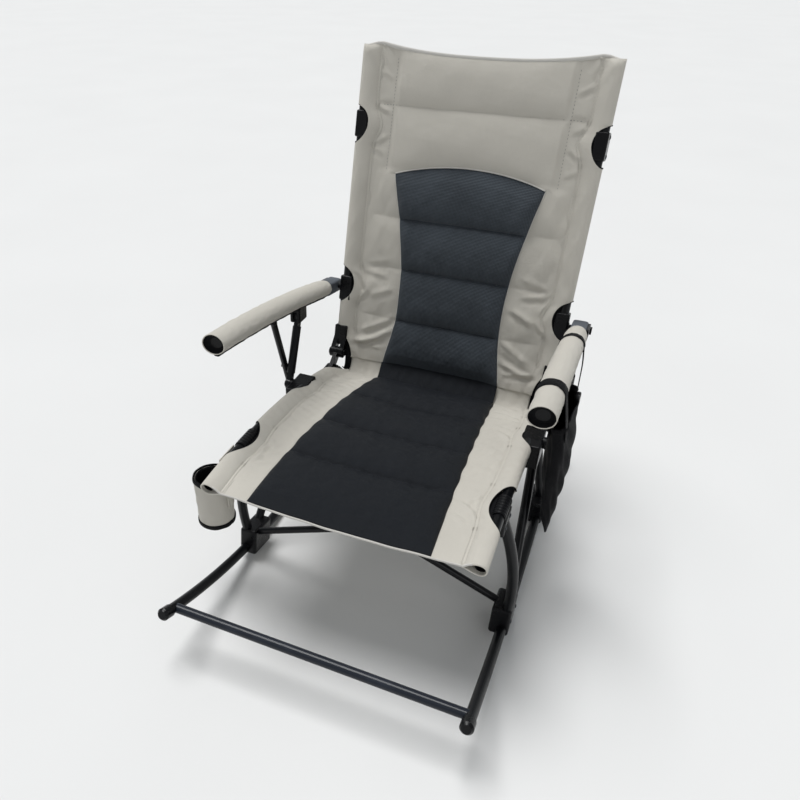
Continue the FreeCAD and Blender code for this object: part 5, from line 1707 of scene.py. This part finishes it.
@dataclass
class ArmWork:
    """The padded sleeves of the arms, wide and low in section, their linings and tapes, and the rear caps."""

    wardrobe: Wardrobe
    front_over: float = 0.016
    rear_clear: float = 0.0300
    radius: float = 0.0240
    top_share: float = 0.88
    low_share: float = 0.78
    seed: int = 61
    seam_angle: float = -104.0
    cap_tilt: float = 10.07
    cap_edge: float = 0.004
    cap_span: tuple[float, float] = (-0.0585, 0.018)
    cap_section: tuple[float, float] = (0.0178, 0.0158)
    cheek_out: float = 0.0200
    cheek_span: tuple[float, float] = (-0.042, 0.016)
    cheek_section: tuple[float, float] = (0.0032, 0.0125)

    def axis(self, side: Side, run: Array) -> Array:
        """Points of the arm's axis."""
        y, z = ARM_ARC.at(run, np.zeros(np.shape(run)))
        return np.stack([np.full(np.shape(run), side.value * ARM_X), y, z], axis=-1)

    def frame(self, run: Array) -> Array:
        """Upward unit vectors square to the arm."""
        angle = ARM_ARC.start - run / ARM_ARC.bend
        return np.stack([np.zeros(np.shape(run)), np.cos(angle), np.sin(angle)], axis=-1)

    def girth(self, side: Side, run: Array, angle: Array) -> Array:
        """Half width of the sleeve: full in the middle, drawn in at the rear, creased across.

        Args:
            side: The arm.
            run: Runs along it.
            angle: Angles round it.

        Returns:
            The half widths.
        """
        length, seed = ARM_ARC.length, self.seed + side.value
        share = (run + self.front_over) / (length + self.front_over)
        base = self.radius * (1.03 + 0.05 * np.sin(math.pi * np.clip(share, 0.0, 1.0)) - 0.06 * share)
        crease = (0.00075 * crumple(run, 0.02 * angle, seed, 0.045)
                  + 0.0005 * crumple(run, 0.03 * angle, seed + 3, 0.018))
        ends = ease(0.0, 0.06, run + self.front_over)
        rear = 1.0 - 0.07 * ease(length - self.rear_clear - 0.03, length - self.rear_clear, run)
        return base * rear + crease * (0.35 + 0.65 * ends)

    def ring(self, side: Side, run: Array, angle: Array, reach: Array) -> Array:
        """Points round the arm: reach sideways, and a share of it up and down.

        Args:
            side: The arm.
            run: Runs along it.
            angle: Angles round it.
            reach: Half widths.

        Returns:
            The points, on ovals lower below than above.
        """
        tall = np.where(np.sin(angle) < 0, self.low_share, self.top_share) * np.sin(angle)
        out = np.array([side.value, 0.0, 0.0])
        return self.axis(side, run) + reach[..., None] * (np.cos(angle)[..., None] * out
                                                          + tall[..., None] * self.frame(run))

    def sleeve(self, side: Side) -> Thing:
        """One sleeve: from its rear edge to a rolled front lip and a little way back inside.

        Args:
            side: The arm.

        Returns:
            The sleeve: ovals along the arm, turned in at the lip.
        """
        angle = turns(64)
        rear = ARM_ARC.length - self.rear_clear
        outer_run = spread(rear, -self.front_over, 150)
        turn = spread(0.0, math.pi, 9)[1:]
        inner_run = spread(-self.front_over, 0.004, 8)[1:]
        lip = 0.0010
        run = np.concatenate([outer_run, -self.front_over - lip * np.sin(turn), inner_run])
        inset = np.concatenate([np.zeros(len(outer_run)), lip * (1.0 - np.cos(turn)),
                                np.full(len(inner_run), 2.0 * lip)])
        grid_run, grid_angle = np.meshgrid(run, angle, indexing="ij")
        reach = self.girth(side, grid_run, grid_angle) - inset[:, None]
        rows = self.ring(side, grid_run, grid_angle, reach)
        middle = self.axis(side, run[:1])[:, None, :]
        rim = middle + 0.55 * (rows[:1] - middle)
        uv = chart(angle * self.radius, np.concatenate([run[:1], run]))
        shell = Shell(f"arm_sleeve_cloth_{side.word}")
        shell.grid(np.concatenate([rim, rows]), uv, loop=True)
        return shell.build()

    def lining(self, side: Side) -> Thing:
        """The dark lining of a sleeve's open front: rings that narrow from the lip to the tube.

        Args:
            side: The arm.

        Returns:
            The lining.
        """
        angle = turns(64)
        share = spread(0.0, 1.0, 12)
        run = -self.front_over + 0.0006 + 0.013 * np.sqrt(share)
        grid_run, grid_angle = np.meshgrid(run, angle, indexing="ij")
        narrow = 1.0 - 0.62 * ease(0.0, 1.0, share)
        reach = (self.girth(side, grid_run, grid_angle) - 0.0022) * narrow[:, None]
        shell = Shell(f"arm_front_lining_{side.word}")
        shell.grid(self.ring(side, grid_run, grid_angle, reach), chart(angle * self.radius, run), loop=True)
        return thicken(shell.build(outward=Vector((0.0, -1.0, 0.0))), 0.0008)

    def moulding(self, name: str, side: Side, out: float, span: tuple[float, float],
                 section: tuple[float, float]) -> Thing:
        """A moulded piece at an arm's pivot: a rounded box along the arm, with its ends drawn in.

        Args:
            name: Name of the piece.
            side: The arm.
            out: How far its middle lies outside the arm's axis.
            span: Its two ends, from the pivot towards the rear.
            section: Its half width and half height.

        Returns:
            The piece: a squared oval carried along a straight line.
        """
        tilt = math.radians(self.cap_tilt)
        along = np.array([0.0, math.cos(tilt), -math.sin(tilt)])
        pivot = np.array([side.value * (ARM_X + out), *ARM_PIVOT])
        (low, high), edge = span, self.cap_edge
        turn = spread(0.0, math.pi / 2, 7)
        place = np.concatenate([low + edge * (1.0 - np.cos(turn)),
                                spread(low + 1.5 * edge, high - 1.5 * edge, 20),
                                high - edge * (1.0 - np.sin(turn))])
        inset = np.clip(np.minimum(place - low, high - place) / edge, 0.0, 1.0)
        scale = 1.0 - 0.20 * (1.0 - np.sqrt(1.0 - (1.0 - inset) ** 2))
        path = pivot + place[:, None] * along
        return loft(name, path, oval(*section, 48, 6.0), ACROSS, scale=scale)

    def under_tape(self, side: Side) -> Thing:
        """The black rolled seam along the inner underside of a sleeve.

        Args:
            side: The arm.

        Returns:
            The tape: a flat oval along the sleeve.
        """
        run = spread(-self.front_over + 0.001, ARM_ARC.length - self.rear_clear, 120)
        angle = np.full(run.shape, math.radians(self.seam_angle))
        path = self.ring(side, run, angle, self.girth(side, run, angle) + 0.0012)
        return loft(f"arm_seam_tape_{side.word}", path, oval(0.0060, 0.0026, 12, 2.6), ACROSS)

    def band(self, name: str, y: float, half_width: float) -> Thing:
        """A webbing loop round the right sleeve, a closed ring of flat section.

        Args:
            name: Name of the piece.
            y: Its level place.
            half_width: Half its width.

        Returns:
            The loop.
        """
        angle = turns(72)
        section = np.array([(-1.0, 0.0), (-0.97, 0.8), (0.0, 1.0), (0.97, 0.8), (1.0, 0.0),
                            (0.9, -0.9), (0.0, -1.0), (-0.9, -0.9), (-1.0, 0.0)])
        run = ARM_ARC.run_at(y) + half_width * section[:, :1] + 0.0025 * np.sin(angle)[None, :]
        grid_angle = np.broadcast_to(angle[None, :], run.shape)
        reach = self.girth(Side.RIGHT, run, grid_angle) + 0.0012 + 0.0009 * section[:, 1:]
        shell = Shell(name)
        uv = np.stack(np.broadcast_arrays((angle * self.radius)[None, :], run), axis=-1)
        shell.grid(self.ring(Side.RIGHT, run, grid_angle, reach), uv, loop=True)
        return shell.build(weld=1e-6)

    def build(self) -> None:
        """Make and dress both arms' soft pieces and rear caps."""
        for side in Side:
            body = f"arm_{side.word}"
            sleeve = self.wardrobe.settle(self.sleeve(side), BEIGE, body, "beige_cloth")
            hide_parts(f"arm_sleeve_{side.word}")
            cap = self.moulding(f"arm_cap_{side.word}", side, 0.0, self.cap_span, self.cap_section)
            self.wardrobe.settle(cap, GREY_PLASTIC, body, "grey_plastic")
            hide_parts(f"arm_rear_cap_{side.word}")
            cheek = self.moulding(f"arm_cheek_{side.word}", side, self.cheek_out, self.cheek_span,
                                  self.cheek_section)
            self.wardrobe.settle(cheek, BLACK_PLASTIC, body, "black_plastic")
            self.wardrobe.settle(self.lining(side), BLACK_TAPE, body, "black_webbing")
            self.wardrobe.settle(self.under_tape(side), BLACK_TAPE, body, "black_webbing")


# Cup holder and pocket


@dataclass
class CupHolder:
    """The cloth cup on the seat's side, with a dark rim and a dark foot seam."""

    wardrobe: Wardrobe
    x: float = -0.3258
    y: float = -0.330
    top: float = 0.304
    height: float = 0.120
    radius: float = 0.040
    wall: float = 0.0018
    pole: float = 0.0005
    points: int = 72
    tab_x: float = -0.2848
    tab_span: tuple[float, float] = (0.236, 0.3785)

    def around(self, radius: Array, z: Array) -> Array:
        """Rings round the cup's axis.

        Args:
            radius: Radius of each ring.
            z: Height of each ring.

        Returns:
            The points: circles that sway towards the mouth, with small creases.
        """
        angle = turns(self.points)
        open_share = ease(self.top - self.height, self.top, z)[:, None]
        sway = 1.0 + 0.018 * np.sin(2.0 * angle[None, :] + 0.6) * open_share
        crease = 0.0007 * crumple(angle[None, :] * self.radius, z[:, None] + 0.0 * angle[None, :], 71, 0.03)
        reach = radius[:, None] * sway + crease * ease(0.01, 0.03, radius)[:, None]
        return np.stack([self.x + reach * np.cos(angle), self.y + reach * np.sin(angle),
                         np.broadcast_to(z[:, None], reach.shape)], axis=-1)

    def build(self) -> None:
        """Make and dress the cup, a turned outline, with its rim, foot seam, lining and tab."""
        low, outer, wall = self.top - self.height, self.radius, self.wall
        radius = np.concatenate([[self.pole], spread(0.006, outer - 0.003, 8),
                                 spread(outer - 0.0012, outer - 0.0003, 26), [outer - wall],
                                 spread(outer - 0.0012 - wall, outer - wall - 0.0015, 20),
                                 spread(outer - 0.006, self.pole, 7)])
        z = np.concatenate([[low + 0.001], spread(low + 0.001, low, 8),
                            spread(low + 0.002, self.top, 26), [self.top],
                            spread(self.top - 0.002, low + 0.004, 20), spread(low + 0.0026, low + 0.003, 7)])
        rings = self.around(radius, z)
        shell = Shell("cup_cloth")
        girth = spread(0.0, 2.0 * math.pi * self.radius, self.points)
        run = np.concatenate([[0.0], np.cumsum(np.hypot(np.diff(radius), np.diff(z)))])
        shell.grid(rings, chart(girth, run), loop=True)
        cup = self.wardrobe.settle(shell.build(weld=1e-6), BEIGE, "base", "beige_cloth")
        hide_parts("cup_holder")
        for name, level, size in (("cup_rim_tape", self.top - 0.003, 0.0046),
                                  ("cup_foot_tape", low + 0.0055, 0.0056)):
            path = self.around(np.array([self.radius - 0.0008]), np.array([level]))[0]
            path = np.concatenate([path, path[:1]])
            outward = path - np.array([self.x, self.y, level])
            tape = loft(name, path, oval(0.0022, size, 10, 2.8), outward, closed=False)
            self.wardrobe.settle(tape, BLACK_TAPE, "base", "black_webbing")
        self.lining()
        self.tab()

    def lining(self) -> None:
        """The dark inside of the cup: rings down its wall and in over its floor."""
        low = self.top - self.height
        radius = np.concatenate([np.full(16, self.radius - 0.0062),
                                 spread(self.radius - 0.0075, self.pole, 8)])
        z = np.concatenate([spread(self.top - 0.001, low + 0.006, 16), np.full(8, low + 0.0052)])
        girth = spread(0.0, 2.0 * math.pi * self.radius, self.points)
        shell = Shell("cup_lining")
        shell.grid(self.around(radius, z), chart(girth, z), loop=True)
        lining = thicken(shell.build(weld=1e-6, outward=Vector((0.0, 0.0, 1.0))), 0.0010)
        self.wardrobe.settle(lining, BLACK_TAPE, "base", "black_webbing")

    def tab(self) -> None:
        """The tab that hangs the cup from the seat's sleeve: a bent strip, wide at the sleeve."""
        across = spread(-1.0, 1.0, 25)
        z = spread(*self.tab_span, 40)
        share = (z - z[0]) / (z[-1] - z[0])
        half = 0.012 + 0.016 * ease(0.25, 0.75, share)
        lean = self.tab_x + 0.0022 * ease(0.55, 1.0, share)
        y = self.y + across[None, :] * half[:, None]
        ripple = 0.0011 * np.sin(across[None, :] * 5.0 + share[:, None] * 7.0)
        x = lean[:, None] + ripple * (1.0 - share[:, None])
        points = np.stack([x, y, np.broadcast_to(z[:, None], y.shape)], axis=-1)
        shell = Shell("cup_tab_cloth")
        shell.grid(points, np.stack(np.broadcast_arrays(y, z[:, None]), axis=-1))
        tab = thicken(shell.build(outward=Vector((-1, 0, 0))), 0.0022, 0.0)
        self.wardrobe.settle(tab, BEIGE, "base", "beige_cloth")


@dataclass
class SidePocket:
    """The black cloth pocket under the right arm, its straps and buckle."""

    wardrobe: Wardrobe
    arm: ArmWork
    foot: float = 0.186
    mouth: float = 0.530
    boxy: float = 0.62
    front_y: float = -0.198
    rear_y: float = 0.105

    def section(self, z: Array, angle: Array) -> Array:
        """The sagging bag's outline at each height: a boxy oval between edges that taper to the foot.

        Args:
            z: Heights.
            angle: Angles round the bag.

        Returns:
            The points, with its folds.
        """
        knots = np.array([self.foot, 0.230, 0.300, 0.400, 0.470, self.mouth])
        front = curve_through(knots, np.array([-0.092, -0.118, -0.152, -0.186, -0.203, -0.213]), z)
        rear = curve_through(knots, np.array([-0.060, -0.050, -0.048, -0.047, -0.047, -0.048]), z)
        inner = curve_through(knots, np.array([0.343, 0.335, 0.327, 0.318, 0.317, 0.319]), z)
        outer = curve_through(knots, np.array([0.348, 0.350, 0.354, 0.3605, 0.357, 0.348]), z)
        c, s = np.cos(angle), np.sin(angle)
        u = np.sign(c) * np.abs(c) ** self.boxy
        v = np.sign(s) * np.abs(s) ** self.boxy
        fold = (0.0028 * np.sin(angle[None, :] * 5.0 + z[:, None] * 26.0)
                + 0.0016 * np.sin(angle[None, :] * 11.0 - z[:, None] * 60.0))
        fold *= ease(0.19, 0.26, z)[:, None]
        half_y, half_x = 0.5 * (rear - front), 0.5 * (outer - inner)
        y = 0.5 * (rear + front)[:, None] + (half_y[:, None] + 0.4 * fold) * u[None, :]
        x = 0.5 * (outer + inner)[:, None] + (half_x[:, None] + fold) * v[None, :]
        drop = 0.010 * np.sin(angle[None, :] + 0.4) * ease(0.48, 0.53, z)[:, None]
        return np.stack([x, y, np.broadcast_to(z[:, None], y.shape) - np.abs(drop)], axis=-1)

    def build(self) -> None:
        """Make and dress the pocket, its mouth tape, straps and buckle."""
        angle = turns(96)
        z = np.concatenate([[self.foot], spread(self.foot + 0.002, self.mouth, 90)])
        rings = self.section(z, angle)
        rings[0] = rings[0].mean(axis=0, keepdims=True)
        shell = Shell("pocket_cloth")
        shell.grid(rings, chart(spread(0.0, 0.40, len(angle)), z), loop=True)
        bag = thicken(shell.build(weld=1e-6), 0.0016)
        self.wardrobe.settle(bag, BLACK_TAPE, "arm_right", "black_webbing")
        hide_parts("side_pocket")
        mouth = np.concatenate([rings[-1], rings[-1][:1]])
        tape = loft("pocket_mouth_tape", mouth, oval(0.0016, 0.0052, 10, 2.8), mouth - mouth.mean(axis=0),
                    closed=False)
        self.wardrobe.settle(tape, BLACK_TAPE, "arm_right", "black_webbing")
        self.straps()

    def strap(self, name: str, path: Array, normal: Array, half: float = 0.0105) -> Thing:
        """A flat webbing strap along a path, its face towards the normal.

        Args:
            name: Name of the piece.
            path: Points it passes.
            normal: Where its face looks.
            half: Half its width.

        Returns:
            The strap.
        """
        t = np.concatenate([[0.0], np.cumsum(np.linalg.norm(np.diff(path, axis=0), axis=1))])
        want = spread(0.0, t[-1], 50)
        smooth = np.stack([curve_through(t, path[:, axis], want) for axis in range(3)], axis=1)
        strap = loft(name, smooth, oval(0.0011, half, 12, 4.0), normal)
        return self.wardrobe.settle(strap, BLACK_TAPE, "arm_right", "black_webbing")

    def straps(self) -> None:
        """Two loops round the arm, the drops to the pocket, and the buckle on the rear one."""
        for place, y, half in (("front", self.front_y, 0.0150), ("rear", self.rear_y, 0.0105)):
            loop = self.arm.band(f"pocket_loop_{place}", y, half)
            self.wardrobe.settle(loop, BLACK_TAPE, "arm_right", "black_webbing")
            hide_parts(f"pocket_strap_{place}")
        out = np.array(ACROSS)
        self.strap("pocket_drop_front", np.array([
            [0.3338, self.front_y, 0.5900], [0.3385, self.front_y, 0.5650],
            [0.3440, -0.197, 0.5350], [0.3480, -0.195, 0.5050]]), out, 0.0125)
        self.strap("pocket_drop_inner", np.array([
            [0.2835, self.front_y, 0.5850], [0.2960, self.front_y, 0.5620],
            [0.3110, -0.197, 0.5380], [0.3190, -0.195, 0.5080]]), out, 0.0125)
        self.strap("pocket_drop_rear", np.array([
            [0.3335, self.rear_y, 0.530], [0.3370, 0.104, 0.500], [0.3385, 0.098, 0.462],
            [0.3400, 0.075, 0.438], [0.3440, 0.030, 0.430], [0.3480, -0.020, 0.438],
            [0.3475, -0.047, 0.446]]), out, 0.0085)
        self.buckle()

    def buckle(self) -> None:
        """The moulded side-release buckle: two nested boxy shells along the strap."""
        for name, y0, y1, half in (("buckle_socket", 0.040, 0.064, 0.0150),
                                   ("buckle_tongue", 0.062, 0.082, 0.0120)):
            path = np.stack([np.full(9, 0.3450), spread(y0, y1, 9), np.full(9, 0.4325)], axis=1)
            swell = 1.0 - 0.12 * np.abs(spread(-1.0, 1.0, 9)) ** 3
            piece = loft(name, path, oval(0.0050, half, 24, 4.5), ACROSS, scale=swell)
            self.wardrobe.settle(piece, BLACK_PLASTIC, "arm_right", "black_plastic")


# The hard frame


@dataclass
class FrameWork:
    """Finishes of the CAD's own tubes and mouldings, and small moulded details on them."""

    wardrobe: Wardrobe
    nodes: dict[str, Thing]
    moulded: tuple[str, ...] = (
        "hub", "seat_front_bracket", "seat_mid_bracket", "seat_hinge_bracket", "back_knuckle",
        "upper_back_bracket", "arm_pivot_bracket", "arm_clevis", "arm_front_plug", "rail_cap")
    rib_steps: tuple[float, ...] = (-0.024, -0.016, -0.008, 0.0, 0.008, 0.016, 0.024)
    rib_radius: float = 0.0130
    strut_foot: tuple[float, float, float] = (0.3255, 0.0365, 0.3328)
    strut_head: tuple[float, float, float] = (0.3255, -0.0305, 0.5298)
    strut_cap: float = 0.0086
    strut_cap_length: float = 0.0130
    rail_bend: float = 1.372
    rail_radius: float = 0.011
    hub_face: float = 0.3228
    hub_rivet_up: float = 0.021
    seat_rivet_x: float = 0.2828
    back_rivet_x: float = 0.2808
    rivet_radius: float = 0.0050
    rivet_height: float = 0.0024

    def dress(self) -> None:
        """Give each CAD node its finish by its name: mouldings, tie bars, and tubes for the rest."""
        for name, thing in self.nodes.items():
            if name.startswith(self.moulded):
                finish = BLACK_PLASTIC
            elif name.startswith("tie_bar"):
                finish = BAR_COAT
            else:
                finish = TUBE_COAT
            self.wardrobe.dress(thing, finish)

    def collars(self) -> None:
        """Fine ribs round the clamp collars in the seat's front openings: rings of round section."""
        middle = SEAT_ARC.run_at(FRONT_BRACKET_Y)
        for side in Side:
            for number, step in enumerate(self.rib_steps):
                self.collar(f"seat_rib{number}_{side.word}", side, middle + step)

    def collar(self, name: str, side: Side, run: float) -> None:
        """One ring round a seat tube.

        Args:
            name: Name of the piece.
            side: The tube.
            run: Its place on the arc.
        """
        ring = spread(0.0, 2.0 * math.pi, 49)
        angle = SEAT_ARC.start - run / SEAT_ARC.bend
        y, z = SEAT_ARC.at(np.array(run), np.array(0.0))
        up = np.array([0.0, math.cos(angle), math.sin(angle)])
        out = np.array(ACROSS)
        centre = np.array([side.value * TUBE_X, float(y), float(z)])
        path = centre + self.rib_radius * (np.cos(ring)[:, None] * out + np.sin(ring)[:, None] * up)
        thing = loft(name, path, oval(0.0009, 0.0016, 8, 2.2), path - centre, closed=False)
        self.wardrobe.settle(thing, BLACK_PLASTIC, "base", "black_plastic")

    def stops(self) -> None:
        """End caps on the second struts: a round section up to the sleeves, drawn in at its end."""
        foot, head = np.array(self.strut_foot), np.array(self.strut_head)
        along = (head - foot) / np.linalg.norm(head - foot)
        turn = spread(0.0, math.pi / 2, 7)[1:]
        length = self.strut_cap_length
        place = np.concatenate([spread(-0.0120, length, 8), length + 0.0045 * np.sin(turn)])
        scale = np.concatenate([np.ones(8), 0.55 + 0.45 * np.cos(turn)])
        for side in Side:
            path = (head + place[:, None] * along) * np.array([side.value, 1.0, 1.0])
            section = oval(self.strut_cap, self.strut_cap, 24)
            cap = loft(f"strut_cap_{side.word}", path, section, ACROSS, scale=scale)
            self.wardrobe.settle(cap, BLACK_PLASTIC, f"support_{side.word}", "black_plastic")

    def rivets(self) -> None:
        """Domed rivet heads on the outer faces of the rail hubs and of the front and upper brackets."""
        bend, up = self.rail_bend, self.hub_rivet_up
        for side in Side:
            for place, y in (("front", -0.220), ("rear", 0.176)):
                slope = math.asin(y / bend)
                z = self.rail_radius + bend - math.sqrt(bend**2 - y**2)
                for number, along in enumerate((-0.027, 0.027)):
                    centre = (side.value * self.hub_face,
                              y + along * math.cos(slope) - up * math.sin(slope),
                              z + along * math.sin(slope) + up * math.cos(slope))
                    self.dome(f"hub_rivet_{place}{number}_{side.word}", "base", side, centre)
            for number, step in enumerate((-0.024, 0.024)):
                run = SEAT_ARC.run_at(FRONT_BRACKET_Y + 0.8 * step)
                y, z = SEAT_ARC.at(np.array(run), np.array(-0.027))
                centre = (side.value * self.seat_rivet_x, float(y), float(z))
                self.dome(f"seat_rivet{number}_{side.word}", "base", side, centre)
                climb, behind = UPPER_BRACKET + 0.8 * step, 0.022
                centre = (side.value * self.back_rivet_x,
                          BACK_FOOT[0] + climb * math.sin(BACK_LEAN) + behind * math.cos(BACK_LEAN),
                          BACK_FOOT[1] + climb * math.cos(BACK_LEAN) - behind * math.sin(BACK_LEAN))
                self.dome(f"back_rivet{number}_{side.word}", "back", side, centre)

    def dome(self, name: str, body: str, side: Side, centre: tuple[float, float, float]) -> None:
        """One low rivet head that looks outward: rings of a half oval round its axis.

        Args:
            name: Name of the piece.
            body: The body it rides on.
            side: Where it looks.
            centre: Middle of its foot.
        """
        turn = turns(24)
        lean = spread(math.pi / 2, 0.0, 6)
        reach = np.concatenate([self.rivet_radius * np.cos(lean), [self.rivet_radius, 0.0]])
        out = np.concatenate([self.rivet_height * np.sin(lean), [-0.0010, -0.0010]])
        rings = np.stack(np.broadcast_arrays(centre[0] + side.value * out[:, None] + 0.0 * turn[None, :],
                                             centre[1] + reach[:, None] * np.cos(turn),
                                             centre[2] + reach[:, None] * np.sin(turn)), axis=-1)
        shell = Shell(name)
        shell.grid(rings, rings[:, :, 1:], loop=True)
        self.wardrobe.settle(shell.build(weld=1e-6), BAR_COAT, body, "black_tube")


# Stage


@dataclass
class Studio:
    """Plain pale floor, soft light and the camera at the photograph's angle."""

    eye: tuple[float, float, float] = (0.3832, -1.3037, 1.2546)
    azimuth: float = 23.47
    height: float = 35.32
    sensor: float = 36.0
    focal_share: float = 715.0 / 800.0
    shift: tuple[float, float] = (0.0795, 0.0375)
    sky: tuple[float, float, float, float] = (0.93, 0.97, 1.0, 1.0)
    sky_strength: float = 0.38
    softness: float = 32.0

    def floor(self) -> None:
        """A wide pale floor."""
        shell = Shell("floor")
        side = spread(-30.0, 30.0, 3)
        grid = np.stack(np.broadcast_arrays(side[None, :], side[:, None], np.zeros((3, 3))), axis=-1)
        shell.grid(grid, grid[:, :, :2])
        ground = shell.build(outward=Vector((0, 0, 1)))
        bench = Bench("pale_floor")
        coords = bench.place()
        pale = bench.mix(bench.noise(coords, 1.5, 3.0), (0.66, 0.66, 0.655, 1.0), (0.70, 0.70, 0.695, 1.0))
        bench.paint("Base Color", pale)
        bench.paint("Roughness", 0.85)
        ground.data.materials.append(bench.material)

    def lights(self) -> None:
        """A bright even sky, a broad soft key from above on the left and a weak fill from the front right."""
        world = bpy.data.worlds.new("soft_sky")
        bpy.context.scene.world = world
        world.use_nodes = True
        backdrop = world.node_tree.nodes["Background"]
        backdrop.inputs["Color"].default_value = self.sky
        backdrop.inputs["Strength"].default_value = self.sky_strength
        for name, aim, power in (("key", (0.28, -0.08, -0.95), 2.80), ("fill", (-0.6, 0.55, -0.5), 0.30)):
            lamp = bpy.data.lights.new(name, "SUN")
            lamp.energy = power
            lamp.angle = math.radians(self.softness)
            thing = placed(name, lamp)
            thing.location = (0.0, 0.0, 3.0)
            thing.rotation_euler = Vector(aim).to_track_quat("-Z", "Y").to_euler()

    def camera(self) -> None:
        """The camera, with the shift that the photograph's framing needs."""
        lens = bpy.data.cameras.new("camera")
        lens.sensor_width = self.sensor
        lens.lens = self.sensor * self.focal_share
        lens.shift_x, lens.shift_y = self.shift
        lens.clip_end = 120.0
        thing = placed("camera", lens)
        thing.location = self.eye
        around, above = math.radians(self.azimuth), math.radians(self.height)
        back = Vector((math.sin(around) * math.cos(above), -math.cos(around) * math.cos(above),
                       math.sin(above)))
        thing.rotation_euler = (-back).to_track_quat("-Z", "Y").to_euler()
        bpy.context.scene.camera = thing

    def build(self) -> None:
        """Set the stage."""
        self.floor()
        self.lights()
        self.camera()
        bpy.context.scene.view_settings.view_transform = "Standard"


def main() -> None:
    """Build every sub-assembly around the frame."""
    logging.basicConfig(level=logging.INFO, format="%(message)s")
    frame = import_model()
    wardrobe = Wardrobe()
    hard = FrameWork(wardrobe, frame["nodes"])
    hard.dress()
    hard.collars()
    hard.rivets()
    hard.stops()
    SlingWork(wardrobe).build()
    arms = ArmWork(wardrobe)
    arms.build()
    CupHolder(wardrobe).build()
    SidePocket(wardrobe, arms).build()
    Studio().build()


if __name__ == "__main__":
    main()
